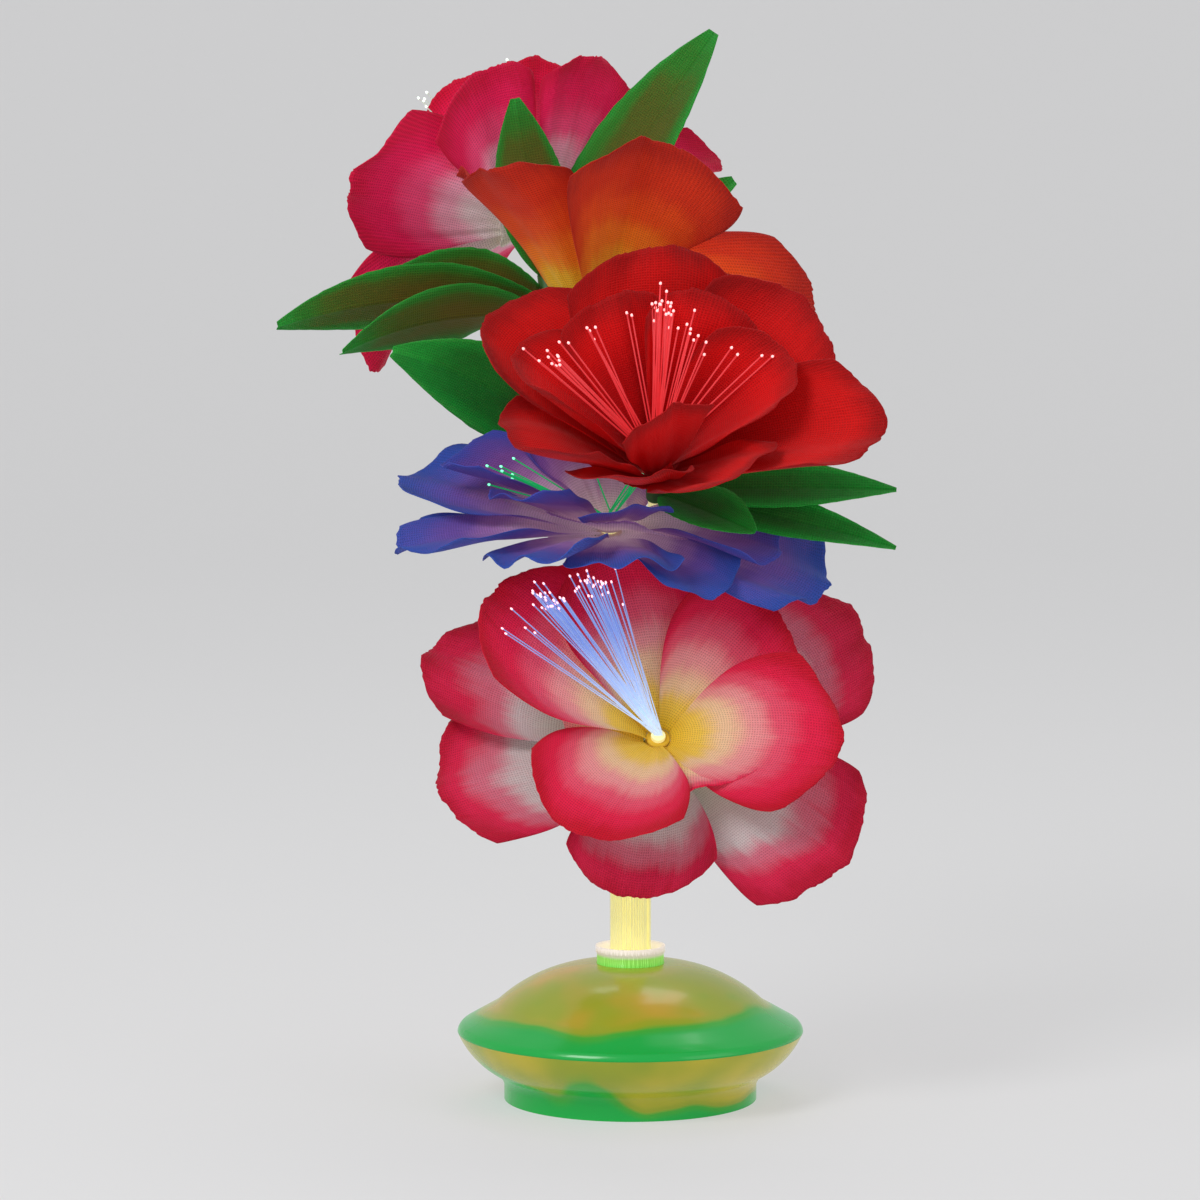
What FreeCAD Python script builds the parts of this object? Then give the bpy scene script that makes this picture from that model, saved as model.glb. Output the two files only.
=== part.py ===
import FreeCAD, Part
import math
import os
import Sketcher

"""Battery-powered fibre-optic flower lamp: a saucer-shaped translucent base carries a bundle of
plastic fibres that fans out into five silk flowers. Millimetres, +Z up, origin on the base axis at
table level, viewer on the -Y side."""

os.makedirs("parts", exist_ok=True)
doc = FreeCAD.newDocument("fibre_flower_lamp")
V = FreeCAD.Vector

# ---------------------------------------------------------------- driving dimensions
SIZES = {
    # base shells
    "foot_radius": 35.5, "foot_height": 4.2, "waist_flare": 1.9, "waist_height": 7.2,
    "flare_round": 6.0, "equator_radius": 48.6, "seam_height": 19.1, "bowl_round": 24.0,
    "brim_inset": 1.4, "brim_height": 21.4, "brim_round": 3.2, "brim_width": 10.5,
    "crease_height": 26.6, "dome_round": 43.0, "dome_top": 38.3, "shell_wall": 1.6,
    "floor_recess": 2.0, "lip_drop": 1.5, "lip_inset": 2.8, "lip_wall": 1.0,
    # stem collar and ferrule
    "collar_radius": 9.4, "collar_rise": 3.2, "rim_radius": 9.75, "rim_height": 1.8,
    "rim_wall": 0.9, "dish_drop": 2.7, "flange_radius": 10.8, "flange_height": 1.4,
    "ferrule_wall": 1.1, "ferrule_length": 9.4,
    # fibre bundle
    "bundle_radius": 2.05, "bundle_gap": 0.073, "sleeve_wall": 0.2, "sleeve_top": 64.0,
    "stem_free": 8.0, "fibre_radius": 0.33, "fibre_pitch": 0.74,
    # light engine
    "board_radius": 19.0, "board_thickness": 1.6, "led_radius": 2.5, "led_height": 6.6,
    "led_flange": 0.4, "led_circle": 3.2, "chip_radius": 3.0, "chip_height": 1.3,
    "chip_offset": 12.0,
    # batteries
    "cell_radius": 5.25, "cell_length": 44.5, "nub_radius": 1.9, "nub_length": 0.9,
    "cell_gap": 0.3, "spring_room": 3.6, "contact_room": 0.45, "tray_wall": 1.2,
    "plate_thickness": 0.3,
    # door, switch, screws
    "door_gap": 0.2, "tab_width": 10.0, "tab_length": 7.0, "tab_thickness": 0.8,
    "screw_radius": 1.25, "screw_head_radius": 2.3, "screw_head_height": 1.0,
    "screw_length": 8.0, "boss_radius": 2.8, "boss_gap": 1.175,
    "post_inset": 9.0, "post_y": 13.0, "post_radius": 3.0, "post_joint": 13.0,
    "switch_inset": 6.0, "switch_length": 8.6, "switch_width": 4.2, "switch_height": 3.6,
    "knob_length": 2.8, "knob_width": 1.6, "knob_travel": 2.0, "knob_recess": 0.3,
    # wiring
    "wire_radius": 0.6, "lead_rise": 3.6, "lead_inset": 1.5, "lead_offset": 5.0,
    "pad_offset": 14.5, "resistor_length": 3.2, "resistor_width": 1.6, "resistor_height": 0.6,
    "resistor_x": 8.0, "resistor_pitch": 3.0,
    # flowers
    "silk_thickness": 0.4, "calyx_length": 4.6, "calyx_radius": 4.2, "calyx_drop": 1.3,
    "collet_height": 2.0, "collet_gap": 0.9, "leaf_root": 3.0, "throat": 4.2,
    # clearances
    "fit": 0.15, "seat": 0.3,
}
sheet = doc.addObject("Spreadsheet::Sheet", "Sizes")
for row, (alias, number) in enumerate(SIZES.items(), start=1):
    sheet.set("A%d" % row, alias)
    sheet.set("B%d" % row, str(number))
    sheet.setAlias("B%d" % row, alias)
doc.recompute()


class Term:
    """A length that knows both its number and the spreadsheet expression that gives it."""

    def __init__(self, number, text):
        self.number, self.text = number, text

    def __add__(self, other):
        other = term(other)
        return Term(self.number + other.number, "(%s + %s)" % (self.text, other.text))

    def __sub__(self, other):
        other = term(other)
        return Term(self.number - other.number, "(%s - %s)" % (self.text, other.text))

    def __mul__(self, factor):
        return Term(self.number * factor, "(%s * (%s))" % (self.text, factor))

    def __neg__(self):
        return Term(-self.number, "(-1 * %s)" % self.text)


def term(value):
    """A plain number or a Term, as a Term."""
    return value if isinstance(value, Term) else Term(float(value), repr(float(value)))


def size(alias):
    """The spreadsheet's length of that name."""
    return Term(float(sheet.get(alias)), "Sizes." + alias)


def number(alias):
    """The spreadsheet's length of that name as a plain number."""
    return float(sheet.get(alias))


# ---------------------------------------------------------------- modelling helpers
def bind(feature, **lengths):
    """Sets properties of a feature and ties them to the spreadsheet."""
    for name, value in lengths.items():
        value = term(value)
        setattr(feature, name, value.number)
        feature.setExpression(name, value.text)
    return feature


def origin_plane(body, role):
    """The body's own origin plane or axis of that role."""
    return next(f for f in body.Origin.OriginFeatures if f.Role == role)


def new_body(label):
    body = doc.addObject("PartDesign::Body", label)
    body.Label = label
    return body


def closed_sketch(body, role, corners, lift=None):
    """A closed outline on an origin plane; a corner is (x, y) or (x, y, radius) where the radius,
    positive for a left-hand bend, rounds the edge that leaves the corner."""
    sketch = body.newObject("Sketcher::SketchObject", body.Label + "_outline")
    sketch.AttachmentSupport = [(origin_plane(body, role), "")]
    sketch.MapMode = "FlatFace"
    if lift is not None:
        sketch.AttachmentOffset = FreeCAD.Placement(V(0, 0, lift.number), FreeCAD.Rotation())
        sketch.setExpression("AttachmentOffset.Base.z", lift.text)
    points = [(term(c[0]), term(c[1])) for c in corners]
    bends = [c[2] if len(c) > 2 else None for c in corners]
    count = len(points)
    for i, bend in enumerate(bends):
        a = V(points[i][0].number, points[i][1].number, 0)
        b = V(points[(i + 1) % count][0].number, points[(i + 1) % count][1].number, 0)
        sketch.addGeometry(Part.LineSegment(a, b) if bend is None else bent_edge(a, b, bend.number))
    for i in range(count):
        end = 2 if bends[i] is None or bends[i].number > 0 else 1
        following = (i + 1) % count
        start = 1 if bends[following] is None or bends[following].number > 0 else 2
        sketch.addConstraint(Sketcher.Constraint("Coincident", i, end, following, start))
        if bends[i] is not None:
            pin(sketch, Sketcher.Constraint("Radius", i, abs(bends[i].number)),
                bends[i] if bends[i].number > 0 else -bends[i])
    for i, (x, y) in enumerate(points):
        start = 1 if bends[i] is None or bends[i].number > 0 else 2
        for axis, kind, value in ((-2, "DistanceX", x), (-1, "DistanceY", y)):
            if abs(value.number) < 1e-9:
                sketch.addConstraint(Sketcher.Constraint("PointOnObject", i, start, axis))
            else:
                pin(sketch, Sketcher.Constraint(kind, -1, 1, i, start, value.number), value)
    return sketch


def pin(sketch, constraint, value):
    """Adds a dimension to a sketch and ties it to the spreadsheet."""
    index = sketch.addConstraint(constraint)
    sketch.setExpression("Constraints[%d]" % index, value.text)


def bent_edge(a, b, radius):
    """The short arc from a to b that bends left (radius > 0) or right."""
    chord = b - a
    side = V(-chord.y, chord.x, 0).normalize()
    reach = math.sqrt(max(radius ** 2 - (chord.Length / 2) ** 2, 0.0))
    centre = (a + b) * 0.5 + side * (reach if radius > 0 else -reach)
    first, last = (a, b) if radius > 0 else (b, a)
    angles = [math.atan2(p.y - centre.y, p.x - centre.x) for p in (first, last)]
    if angles[1] < angles[0]:
        angles[1] += 2 * math.pi
    return Part.ArcOfCircle(Part.Circle(centre, V(0, 0, 1), abs(radius)), *angles)


def revolve(body, corners):
    """Turns a closed (radius, height) outline round the body's Z axis."""
    sketch = closed_sketch(body, "XZ_Plane", corners)
    turn = body.newObject("PartDesign::Revolution", body.Label + "_turn")
    turn.Profile = sketch
    turn.ReferenceAxis = (sketch, ["V_Axis"])
    turn.Angle = 360
    doc.recompute()
    return turn


def groove(body, corners):
    """Turns a closed (radius, height) outline away from the body round its Z axis."""
    before = body.Shape.Volume
    sketch = closed_sketch(body, "XZ_Plane", corners)
    turn = body.newObject("PartDesign::Groove", body.Label + "_trim")
    turn.Profile = sketch
    turn.ReferenceAxis = (sketch, ["V_Axis"])
    turn.Angle = 360
    doc.recompute()
    expect_change("Pocket", before, body)
    return turn


def expect_change(kind, before, body):
    """Stops when a pad added nothing or a pocket cut nothing."""
    change = body.Shape.Volume - before
    if change <= 0 if kind == "Pad" else change >= 0:
        raise ValueError("%s: a %s changed the volume by %.3f" % (body.Label, kind, change))


def turned_piece(label, corners, at=None):
    """A whole piece made by one revolution, optionally placed at (origin, axis)."""
    body = new_body(label)
    revolve(body, corners)
    if at is not None:
        body.Placement = at
    return body


def finish_extrusion(body, feature, sketch, kind, low, high):
    """Gives a pad or pocket its sketch and its length, upwards from the sketch."""
    before = body.Shape.Volume if body.Tip and not body.Shape.isNull() else 0.0
    feature.Profile = sketch
    bind(feature, Length=high - low)
    feature.Reversed = kind == "Pocket"
    doc.recompute()
    expect_change(kind, before, body)
    return feature


def extrude(body, kind, corners, low, high):
    """A pad or pocket of an outline between two heights above the XY plane."""
    sketch = closed_sketch(body, "XY_Plane", corners, lift=low)
    feature = body.newObject("PartDesign::" + kind, body.Label + "_" + kind.lower())
    return finish_extrusion(body, feature, sketch, kind, low, high)


def round_extrude(body, kind, centre, radius, low, high):
    """A round pad or pocket between two heights above the XY plane."""
    sketch = body.newObject("Sketcher::SketchObject", body.Label + "_round")
    sketch.AttachmentSupport = [(origin_plane(body, "XY_Plane"), "")]
    sketch.MapMode = "FlatFace"
    sketch.AttachmentOffset = FreeCAD.Placement(V(0, 0, low.number), FreeCAD.Rotation())
    sketch.setExpression("AttachmentOffset.Base.z", low.text)
    x, y = term(centre[0]), term(centre[1])
    circle = Part.Circle(V(x.number, y.number, 0), V(0, 0, 1), radius.number)
    sketch.addGeometry(circle)
    pin(sketch, Sketcher.Constraint("Radius", 0, radius.number), radius)
    for axis, way, value in ((-2, "DistanceX", x), (-1, "DistanceY", y)):
        if abs(value.number) < 1e-9:
            sketch.addConstraint(Sketcher.Constraint("PointOnObject", 0, 3, axis))
        else:
            pin(sketch, Sketcher.Constraint(way, -1, 1, 0, 3, value.number), value)
    feature = body.newObject("PartDesign::" + kind, body.Label + "_round_" + kind.lower())
    return finish_extrusion(body, feature, sketch, kind, low, high)


def rectangle(x_low, x_high, y_low, y_high):
    """Corners of a rectangle, counter-clockwise."""
    return [(x_low, y_low), (x_high, y_low), (x_high, y_high), (x_low, y_high)]


def centred(length, width):
    """Corners of a rectangle about the origin."""
    return rectangle(-length * 0.5, length * 0.5, -width * 0.5, width * 0.5)


def add_feature(label, shape):
    """A sub-part whose shape is worked out here."""
    feature = doc.addObject("Part::Feature", label)
    feature.Label = label
    feature.Shape = shape
    return feature


def facing(origin, axis):
    """A placement whose local Z points along axis and whose local X stays nearest to +X."""
    z = V(*axis).normalize()
    x = (V(1, 0, 0) - z * z.x).normalize()
    y = z.cross(x)
    turn = FreeCAD.Rotation(x, y, z, "ZXY")
    return FreeCAD.Placement(V(*origin), turn)


# ---------------------------------------------------------------- lengths that follow from them
floor_low = size("floor_recess")
floor_top = floor_low + size("shell_wall")
tray_height = size("cell_radius") * 2 + size("cell_gap") * 2
tray_top = floor_top + tray_height + size("tray_wall")
board_low = tray_top + size("seat")
board_top = board_low + size("board_thickness")
led_top = board_top + size("led_height")
collar_low = size("dome_top") - size("shell_wall") - size("seat") - size("flange_height")
ferrule_top = collar_low - size("seat")
ferrule_low = ferrule_top - size("ferrule_length")
ring_radius = (size("bundle_radius") + size("bundle_gap") * 0.5) * (1 / math.sin(math.pi / 5))
sleeve_bore = ring_radius + size("bundle_radius") + size("fit")
sleeve_radius = sleeve_bore + size("sleeve_wall")
stem_bore = sleeve_radius + size("fit")
tray_inner_x = size("cell_radius") * 6 + size("cell_gap") * 4
tray_inner_y = size("cell_length") + size("nub_length") + size("spring_room") + size("contact_room")
foot, equator = size("foot_radius"), size("equator_radius")
waist = foot + size("waist_flare")
switch_x = foot - size("switch_inset")
door_screw_y = tray_inner_y * 0.5 + size("tray_wall") + size("boss_gap") + size("boss_radius")
posts = [((foot - size("post_inset")) * i, size("post_y") * j) for i in (-1, 1) for j in (-1, 1)]


# ---------------------------------------------------------------- base shells
def make_lower_shell():
    """Bowl with a foot ring, a recessed floor, screw posts and the battery opening."""
    body = new_body("lower_shell")
    wall = size("shell_wall")
    revolve(body, [
        (0, floor_low), (foot - wall, floor_low), (foot - wall, 0), (foot, 0),
        (foot, size("foot_height"), -size("flare_round")),
        (waist, size("waist_height"), size("bowl_round")),
        (equator, size("seam_height")),
        (equator - wall, size("seam_height"), -(size("bowl_round") - wall)),
        (waist - wall, size("waist_height") + wall * 0.5, size("flare_round") + wall),
        (foot - wall, size("foot_height") + wall * 0.5), (foot - wall, floor_top), (0, floor_top)])
    for x, y in posts:
        round_extrude(body, "Pad", (x, y), size("post_radius"), floor_low, size("post_joint"))
        round_extrude(body, "Pocket", (x, y), size("screw_radius") + size("fit"), term(0),
                      size("post_joint"))
        round_extrude(body, "Pocket", (x, y), size("screw_head_radius") + size("fit"), term(0),
                      floor_low + size("screw_head_height"))
    for way in (-1, 1):
        round_extrude(body, "Pad", (0, door_screw_y * way), size("boss_radius"),
                      floor_low, floor_low + size("screw_length"))
    gap = size("door_gap")
    extrude(body, "Pocket", centred(size("tab_width") + gap * 2,
                                    tray_inner_y + size("tab_length") * 2 + gap * 2),
            term(0), floor_low + size("tab_thickness") + size("fit"))
    for way in (-1, 1):
        round_extrude(body, "Pocket", (0, door_screw_y * way),
                      size("screw_radius") + size("fit"), term(0),
                      floor_low + size("screw_length") - size("shell_wall"))
    extrude(body, "Pocket", centred(tray_inner_x + gap * 2, tray_inner_y + gap * 2), term(0),
            floor_top)
    slot = size("knob_width") * 0.5 + gap
    reach = size("knob_length") * 0.5 + size("knob_travel") * 0.5 + gap
    extrude(body, "Pocket", rectangle(switch_x - slot, switch_x + slot, -reach, reach), term(0),
            floor_top)
    return body


def make_upper_shell():
    """Domed lid with a rounded brim, a centring lip and the four screw pillars."""
    body = new_body("upper_shell")
    wall = size("shell_wall")
    crease = equator - size("brim_width")
    hole = size("collar_radius") + size("fit")
    lip = equator - size("lip_inset")
    revolve(body, [
        (lip - size("lip_wall"), size("seam_height") - size("lip_drop")),
        (lip, size("seam_height") - size("lip_drop")), (lip, size("seam_height")),
        (equator, size("seam_height"), size("brim_round")),
        (equator - size("brim_inset"), size("brim_height")),
        (crease, size("crease_height"), size("dome_round")),
        (hole, size("dome_top")), (hole, size("dome_top") - wall, -(size("dome_round") - wall)),
        (crease - wall * 0.5, size("crease_height") - wall),
        (lip - size("lip_wall"), size("brim_height") - wall * 0.3)])
    for x, y in posts:
        round_extrude(body, "Pad", (x, y), size("post_radius"), size("post_joint") + size("fit"),
                      size("dome_top"))
    groove(body, [(hole, size("dome_top")), (hole, size("dome_top") + wall),
                  (crease + wall, size("dome_top") + wall), (crease + wall, size("crease_height")),
                  (crease, size("crease_height"), size("dome_round"))])
    for x, y in posts:
        round_extrude(body, "Pocket", (x, y), size("screw_radius") + size("fit") * 0.4,
                      size("post_joint") - size("fit"), size("post_joint") + size("screw_length"))
    return body


# ---------------------------------------------------------------- collar, ferrule, sleeve
def make_stem_pieces():
    """The frosted collar in the dome, the ferrule that gathers the fibres and the film sleeve."""
    rim_low = size("dome_top") + size("collar_rise")
    rim_top = rim_low + size("rim_height")
    flange_top = collar_low + size("flange_height")
    turned_piece("stem_collar", [
        (stem_bore, collar_low), (size("flange_radius"), collar_low),
        (size("flange_radius"), flange_top), (size("collar_radius"), flange_top),
        (size("collar_radius"), rim_low), (size("rim_radius"), rim_low),
        (size("rim_radius"), rim_top), (size("rim_radius") - size("rim_wall"), rim_top),
        (stem_bore, rim_top - size("dish_drop"))])
    wall = size("ferrule_wall")
    turned_piece("fibre_ferrule", [
        (sleeve_bore, ferrule_low), (sleeve_bore + wall * 0.5, ferrule_low),
        (sleeve_bore + wall, ferrule_low + size("ferrule_length") * 0.5),
        (sleeve_bore + wall, ferrule_top - wall), (size("collar_radius"), ferrule_top - wall),
        (size("collar_radius"), ferrule_top), (sleeve_bore, ferrule_top)])
    turned_piece("stem_sleeve", [
        (sleeve_bore, ferrule_top + size("fit")), (sleeve_radius, ferrule_top + size("fit")),
        (sleeve_radius, size("sleeve_top")), (sleeve_bore, size("sleeve_top"))])


# ---------------------------------------------------------------- light engine
def make_light_engine():
    """Round circuit board with three domed diodes under the ferrule and the controller blob."""
    turned_piece("led_board", [
        (0, board_low), (size("board_radius"), board_low), (size("board_radius"), board_top),
        (0, board_top)])
    radius, flange = size("led_radius"), size("led_flange")
    for k, colour in enumerate(("red", "green", "blue")):
        angle = math.radians(90 + 120 * k)
        body = turned_piece("led_" + colour, [
            (0, board_top), (radius + flange * 0.4, board_top),
            (radius + flange * 0.4, board_top + flange * 2), (radius, board_top + flange * 2),
            (radius, led_top - radius, radius), (0, led_top)])
        ring = number("led_circle")
        body.Placement = FreeCAD.Placement(V(ring * math.cos(angle), ring * math.sin(angle), 0),
                                           FreeCAD.Rotation())
        body.setExpression(".Placement.Base.x", "Sizes.led_circle * %.9f" % math.cos(angle))
        body.setExpression(".Placement.Base.y", "Sizes.led_circle * %.9f" % math.sin(angle))
    chip = turned_piece("controller_blob", [
        (0, board_top), (size("chip_radius"), board_top),
        (size("chip_radius") - size("chip_height") * 0.5, board_top + size("chip_height") * 0.7),
        (0, board_top + size("chip_height"))])
    chip.Placement = FreeCAD.Placement(V(-number("chip_offset"), 0, 0), FreeCAD.Rotation())
    chip.setExpression(".Placement.Base.x", "-Sizes.chip_offset")


# ---------------------------------------------------------------- batteries
def make_batteries():
    """Open-bottomed tray with three cells lying side by side between springs and contacts."""
    body = new_body("battery_tray")
    wall = size("tray_wall")
    extrude(body, "Pad", centred(tray_inner_x + wall * 2, tray_inner_y + wall * 2), floor_top,
            tray_top)
    extrude(body, "Pocket", centred(tray_inner_x, tray_inner_y), floor_top - wall,
            floor_top + tray_height)
    radius, length = number("cell_radius"), number("cell_length")
    nub, nub_length = number("nub_radius"), number("nub_length")
    half = tray_inner_y.number / 2
    height = floor_top.number + number("cell_gap") + radius
    pitch = 2 * radius + number("cell_gap")
    plate = number("plate_thickness")
    springs, contacts = [], []
    for k in (-1, 0, 1):
        way = 1 if k else -1
        start = -way * (half - number("spring_room"))
        can = Part.makeCylinder(radius, length, V(k * pitch, start, height), V(0, way, 0))
        tip = Part.makeCylinder(nub, nub_length, V(k * pitch, start + way * length, height),
                                V(0, way, 0))
        add_feature("battery_cell_%d" % (k + 2), can.fuse(tip).removeSplitter())
        springs.append(leaf_spring(k * pitch, start, -way * half, height, way))
        face = way * half
        low = min(face, face - way * plate)
        contacts.append(Part.makeBox(4 * nub, plate, 4 * nub,
                                     V(k * pitch - 2 * nub, low, height - 2 * nub)))
    add_feature("battery_springs", Part.makeCompound(springs))
    add_feature("battery_contacts", Part.makeCompound(contacts))


def leaf_spring(x, cell_end, wall_face, height, way):
    """A folded strip that stands on the tray's end wall and presses on a cell's flat end."""
    plate, gap = number("plate_thickness"), number("fit")
    half_width = 1.3 * number("nub_radius")
    near, far = wall_face, cell_end - way * gap
    low, high = height - number("cell_radius") / 2, height + number("cell_radius") / 2
    inner, nose = near + way * plate, far - way * plate
    outline = [(near, low), (near, high), (inner, high), (inner, height + plate),
               (far, height + plate), (far, height - plate * 3), (nose, height - plate * 3),
               (nose, height), (inner, height), (inner, low)]
    points = [V(x - half_width, y, z) for y, z in outline]
    return Part.Face(Part.makePolygon(points + points[:1])).extrude(V(2 * half_width, 0, 0))


# ---------------------------------------------------------------- door, switch, screws
def screw(base, length):
    """A pan-head screw pointing up, the underside of its head at base."""
    head = Part.makeCylinder(number("screw_head_radius"), number("screw_head_height"),
                             base - V(0, 0, number("screw_head_height")))
    shank = Part.makeCylinder(number("screw_radius"), length, base)
    return head.fuse(shank).removeSplitter()


def make_door():
    """Battery door with a screwed tab at each end, and its two screws."""
    body = new_body("battery_door")
    extrude(body, "Pad", centred(tray_inner_x, tray_inner_y), floor_low, floor_top)
    tab_end = tray_inner_y * 0.5 + size("tab_length")
    half_tab = size("tab_width") * 0.5
    extrude(body, "Pad", rectangle(-half_tab, half_tab, -tab_end, tab_end), floor_low,
            floor_low + size("tab_thickness"))
    for way in (-1, 1):
        round_extrude(body, "Pocket", (0, door_screw_y * way),
                      size("screw_radius") + size("fit"), term(0), floor_top)
    base = floor_low.number - number("fit")
    length = number("screw_length") - 2 * number("shell_wall")
    add_feature("door_screws", Part.makeCompound([
        screw(V(0, door_screw_y.number * way, base), length) for way in (-1, 1)]))
    low = floor_low.number + number("screw_head_height")
    add_feature("base_screws", Part.makeCompound([
        screw(V(x.number, y.number, low - number("fit")),
              number("post_joint") + number("screw_length") - low - number("seat"))
        for x, y in posts]))


def make_switch():
    """Slide switch on the floor, its knob reaching down through the slot."""
    x, gap = switch_x, size("door_gap")
    body = new_body("switch_body")
    half_x, half_y = size("switch_width") * 0.5, size("switch_length") * 0.5
    extrude(body, "Pad", rectangle(x - half_x, x + half_x, -half_y, half_y), floor_top,
            floor_top + size("switch_height"))
    flange_x = size("knob_width") * 0.5 + gap * 2
    flange_y = size("knob_length") * 0.5 + gap * 2
    room = size("knob_travel") * 0.5 + gap
    depth = size("switch_height") * 0.5
    extrude(body, "Pocket", rectangle(x - flange_x - gap, x + flange_x + gap, -flange_y - room,
                                      flange_y + room), floor_low, floor_top + depth)
    knob = new_body("switch_knob")
    rest = size("knob_travel") * 0.5
    extrude(knob, "Pad", rectangle(x - size("knob_width") * 0.5, x + size("knob_width") * 0.5,
                                   -size("knob_length") * 0.5 - rest,
                                   size("knob_length") * 0.5 - rest),
            size("knob_recess"), floor_top + depth - gap)
    extrude(knob, "Pad", rectangle(x - flange_x, x + flange_x, -flange_y - rest, flange_y - rest),
            floor_top + gap, floor_top + depth - gap)


# ---------------------------------------------------------------- tubes along a route
def rounded_path(points):
    """Straight runs joined by tangent arcs, each as large as its two runs allow."""
    edges, start = [], points[0]
    for i in range(1, len(points) - 1):
        back, ahead = points[i - 1] - points[i], points[i + 1] - points[i]
        turn = math.pi - back.getAngle(ahead)
        cut = 0.45 * min(back.Length, ahead.Length)
        radius = cut / math.tan(turn / 2)
        into, out = back.normalize(), ahead.normalize()
        first, last = points[i] + into * cut, points[i] + out * cut
        bisector = (into + out).normalize()
        middle = points[i] + bisector * (math.hypot(radius, cut) - radius)
        edges += [Part.LineSegment(start, first).toShape(), Part.Arc(first, middle, last).toShape()]
        start = last
    return Part.Wire(edges + [Part.LineSegment(start, points[-1]).toShape()])


def tube(route, radius):
    """A round solid along the rounded route."""
    points = [V(*p) for p in route]
    path = rounded_path(points)
    ring = Part.Wire([Part.makeCircle(radius, points[0], points[1] - points[0])])
    shape = path.makePipeShell([ring], True, False)
    share = shape.Volume / (math.pi * radius ** 2 * path.Length)
    if abs(share - 1) > 0.02:
        raise ValueError("a tube's volume is %.3f of its section times its length" % share)
    return shape


# ---------------------------------------------------------------- silk surfaces
class Petal:
    """One silk petal: where it points, how large it is and how it rises."""

    def __init__(self, turn, length, width, rise, tip, curl=0.0):
        self.turn, self.length, self.width = turn, length, width
        self.rise, self.tip, self.curl = rise, tip, curl


class Layer:
    """A ring of petals wrapped on one bowl, each lying over its neighbour like roof tiles."""

    def __init__(self, petals, reach, wrap=52.0, collet=3.9, height=0.0, cup=2.4, lap=3.4,
                 wave=1.0):
        self.petals = sorted(petals, key=lambda petal: petal.turn % 360)
        self.reach, self.wrap, self.collet, self.height = reach, wrap, collet, height
        self.cup, self.lap, self.wave = cup, lap, wave

    def slopes(self, bearing):
        """The bowl's slope at its root and at its reach in one direction, in degrees."""
        bearing %= 360
        for i, petal in enumerate(self.petals):
            following = self.petals[(i + 1) % len(self.petals)]
            span = (following.turn - petal.turn) % 360
            offset = (bearing - petal.turn) % 360
            if offset <= span:
                share = offset / span
                share = share * share * (3 - 2 * share)
                return (petal.rise + (following.rise - petal.rise) * share,
                        petal.tip + (following.tip - petal.tip) * share)
        raise ValueError("no petals bracket this bearing")

    def bowl(self, travel, bearing):
        """Radius, height and slope of the bowl after travelling that far from the collet."""
        rise, tip = (math.radians(angle) for angle in self.slopes(bearing))
        bend = (tip - rise) / self.reach
        if abs(bend) < 1e-5:
            return (self.collet + travel * math.cos(rise),
                    self.height + travel * math.sin(rise), rise)
        slope = rise + bend * travel
        return (self.collet + (math.sin(slope) - math.sin(rise)) / bend,
                self.height - (math.cos(slope) - math.cos(rise)) / bend, slope)

    def half_width(self, petal, share):
        """Half the petal's width at that share of its length."""
        half, widest, blunt = petal.width / 2, 0.66, 0.60
        root = self.collet * 0.52 / half
        if share < widest:
            swell = math.sin(0.5 * math.pi * share / widest) ** 1.1
            return half * (root + (1 - root) * swell)
        beyond = (share - widest) / (1 - widest)
        return half * (blunt + (1 - blunt) * math.sqrt(max(0.0, 1 - beyond ** 2.2)))

    def point(self, petal, along, across):
        """A point of the petal's middle surface; across runs from -1 to 1."""
        share = along * (1 - 0.14 * (across * along) ** 2)
        radius = self.bowl(share * petal.length, petal.turn)[0]
        half_angle = math.degrees(self.half_width(petal, share) / radius)
        half_angle /= (1 + (half_angle / (1.4 * self.wrap)) ** 4) ** 0.25
        bearing = petal.turn + self.wrap * math.tanh(across * half_angle / self.wrap)
        radius, height, slope = self.bowl(share * petal.length, bearing)
        lift = across * (0.55 + self.lap * share) + self.cup * share * (across ** 2 - 0.4)
        ripple = math.sin(2.4 * math.pi * across + petal.turn)
        lift += self.wave * share ** 2 * ripple * (0.4 + 0.6 * across ** 2)
        if across > 0.45:
            lift += petal.curl * share * ((across - 0.45) / 0.55) ** 2
        radius, height = radius - lift * math.sin(slope), height + lift * math.cos(slope)
        angle = math.radians(bearing)
        return V(radius * math.cos(angle), radius * math.sin(angle), height)


class Leaf:
    """One pointed leaf, folded along its midrib; bank turns the blade about the midrib."""

    def __init__(self, turn, length, width, rise, tip, bank, height):
        self.turn, self.length, self.width = turn, length, width
        self.rise, self.tip, self.bank, self.height = rise, tip, bank, height

    def point(self, along, across):
        """A point of the leaf's middle surface; across runs from -1 to 1."""
        rise, bend = math.radians(self.rise), math.radians(self.tip - self.rise)
        slope = rise + bend * along
        root, fold = number("leaf_root"), math.radians(14.0)
        if abs(bend) < 1e-4:
            radius, height = self.length * along * math.cos(rise), self.length * along * math.sin(rise)
        else:
            radius = self.length / bend * (math.sin(slope) - math.sin(rise))
            height = -self.length / bend * (math.cos(slope) - math.cos(rise))
        swell = math.sin(math.pi * (0.035 + 0.93 * along) ** 0.86)
        half = 0.5 * self.width * max(0.07, swell ** 0.9)
        side, up = across * half * math.cos(fold), abs(across) * half * math.sin(fold)
        bank = math.radians(self.bank * min(1.0, 3 * along))
        sideways = side * math.cos(bank) - up * math.sin(bank)
        outward = side * math.sin(bank) + up * math.cos(bank)
        radius, height = radius + root - outward * math.sin(slope), height + outward * math.cos(slope)
        angle = math.radians(self.turn)
        return V(radius * math.cos(angle) - sideways * math.sin(angle),
                 radius * math.sin(angle) + sideways * math.cos(angle), height + self.height)


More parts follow.
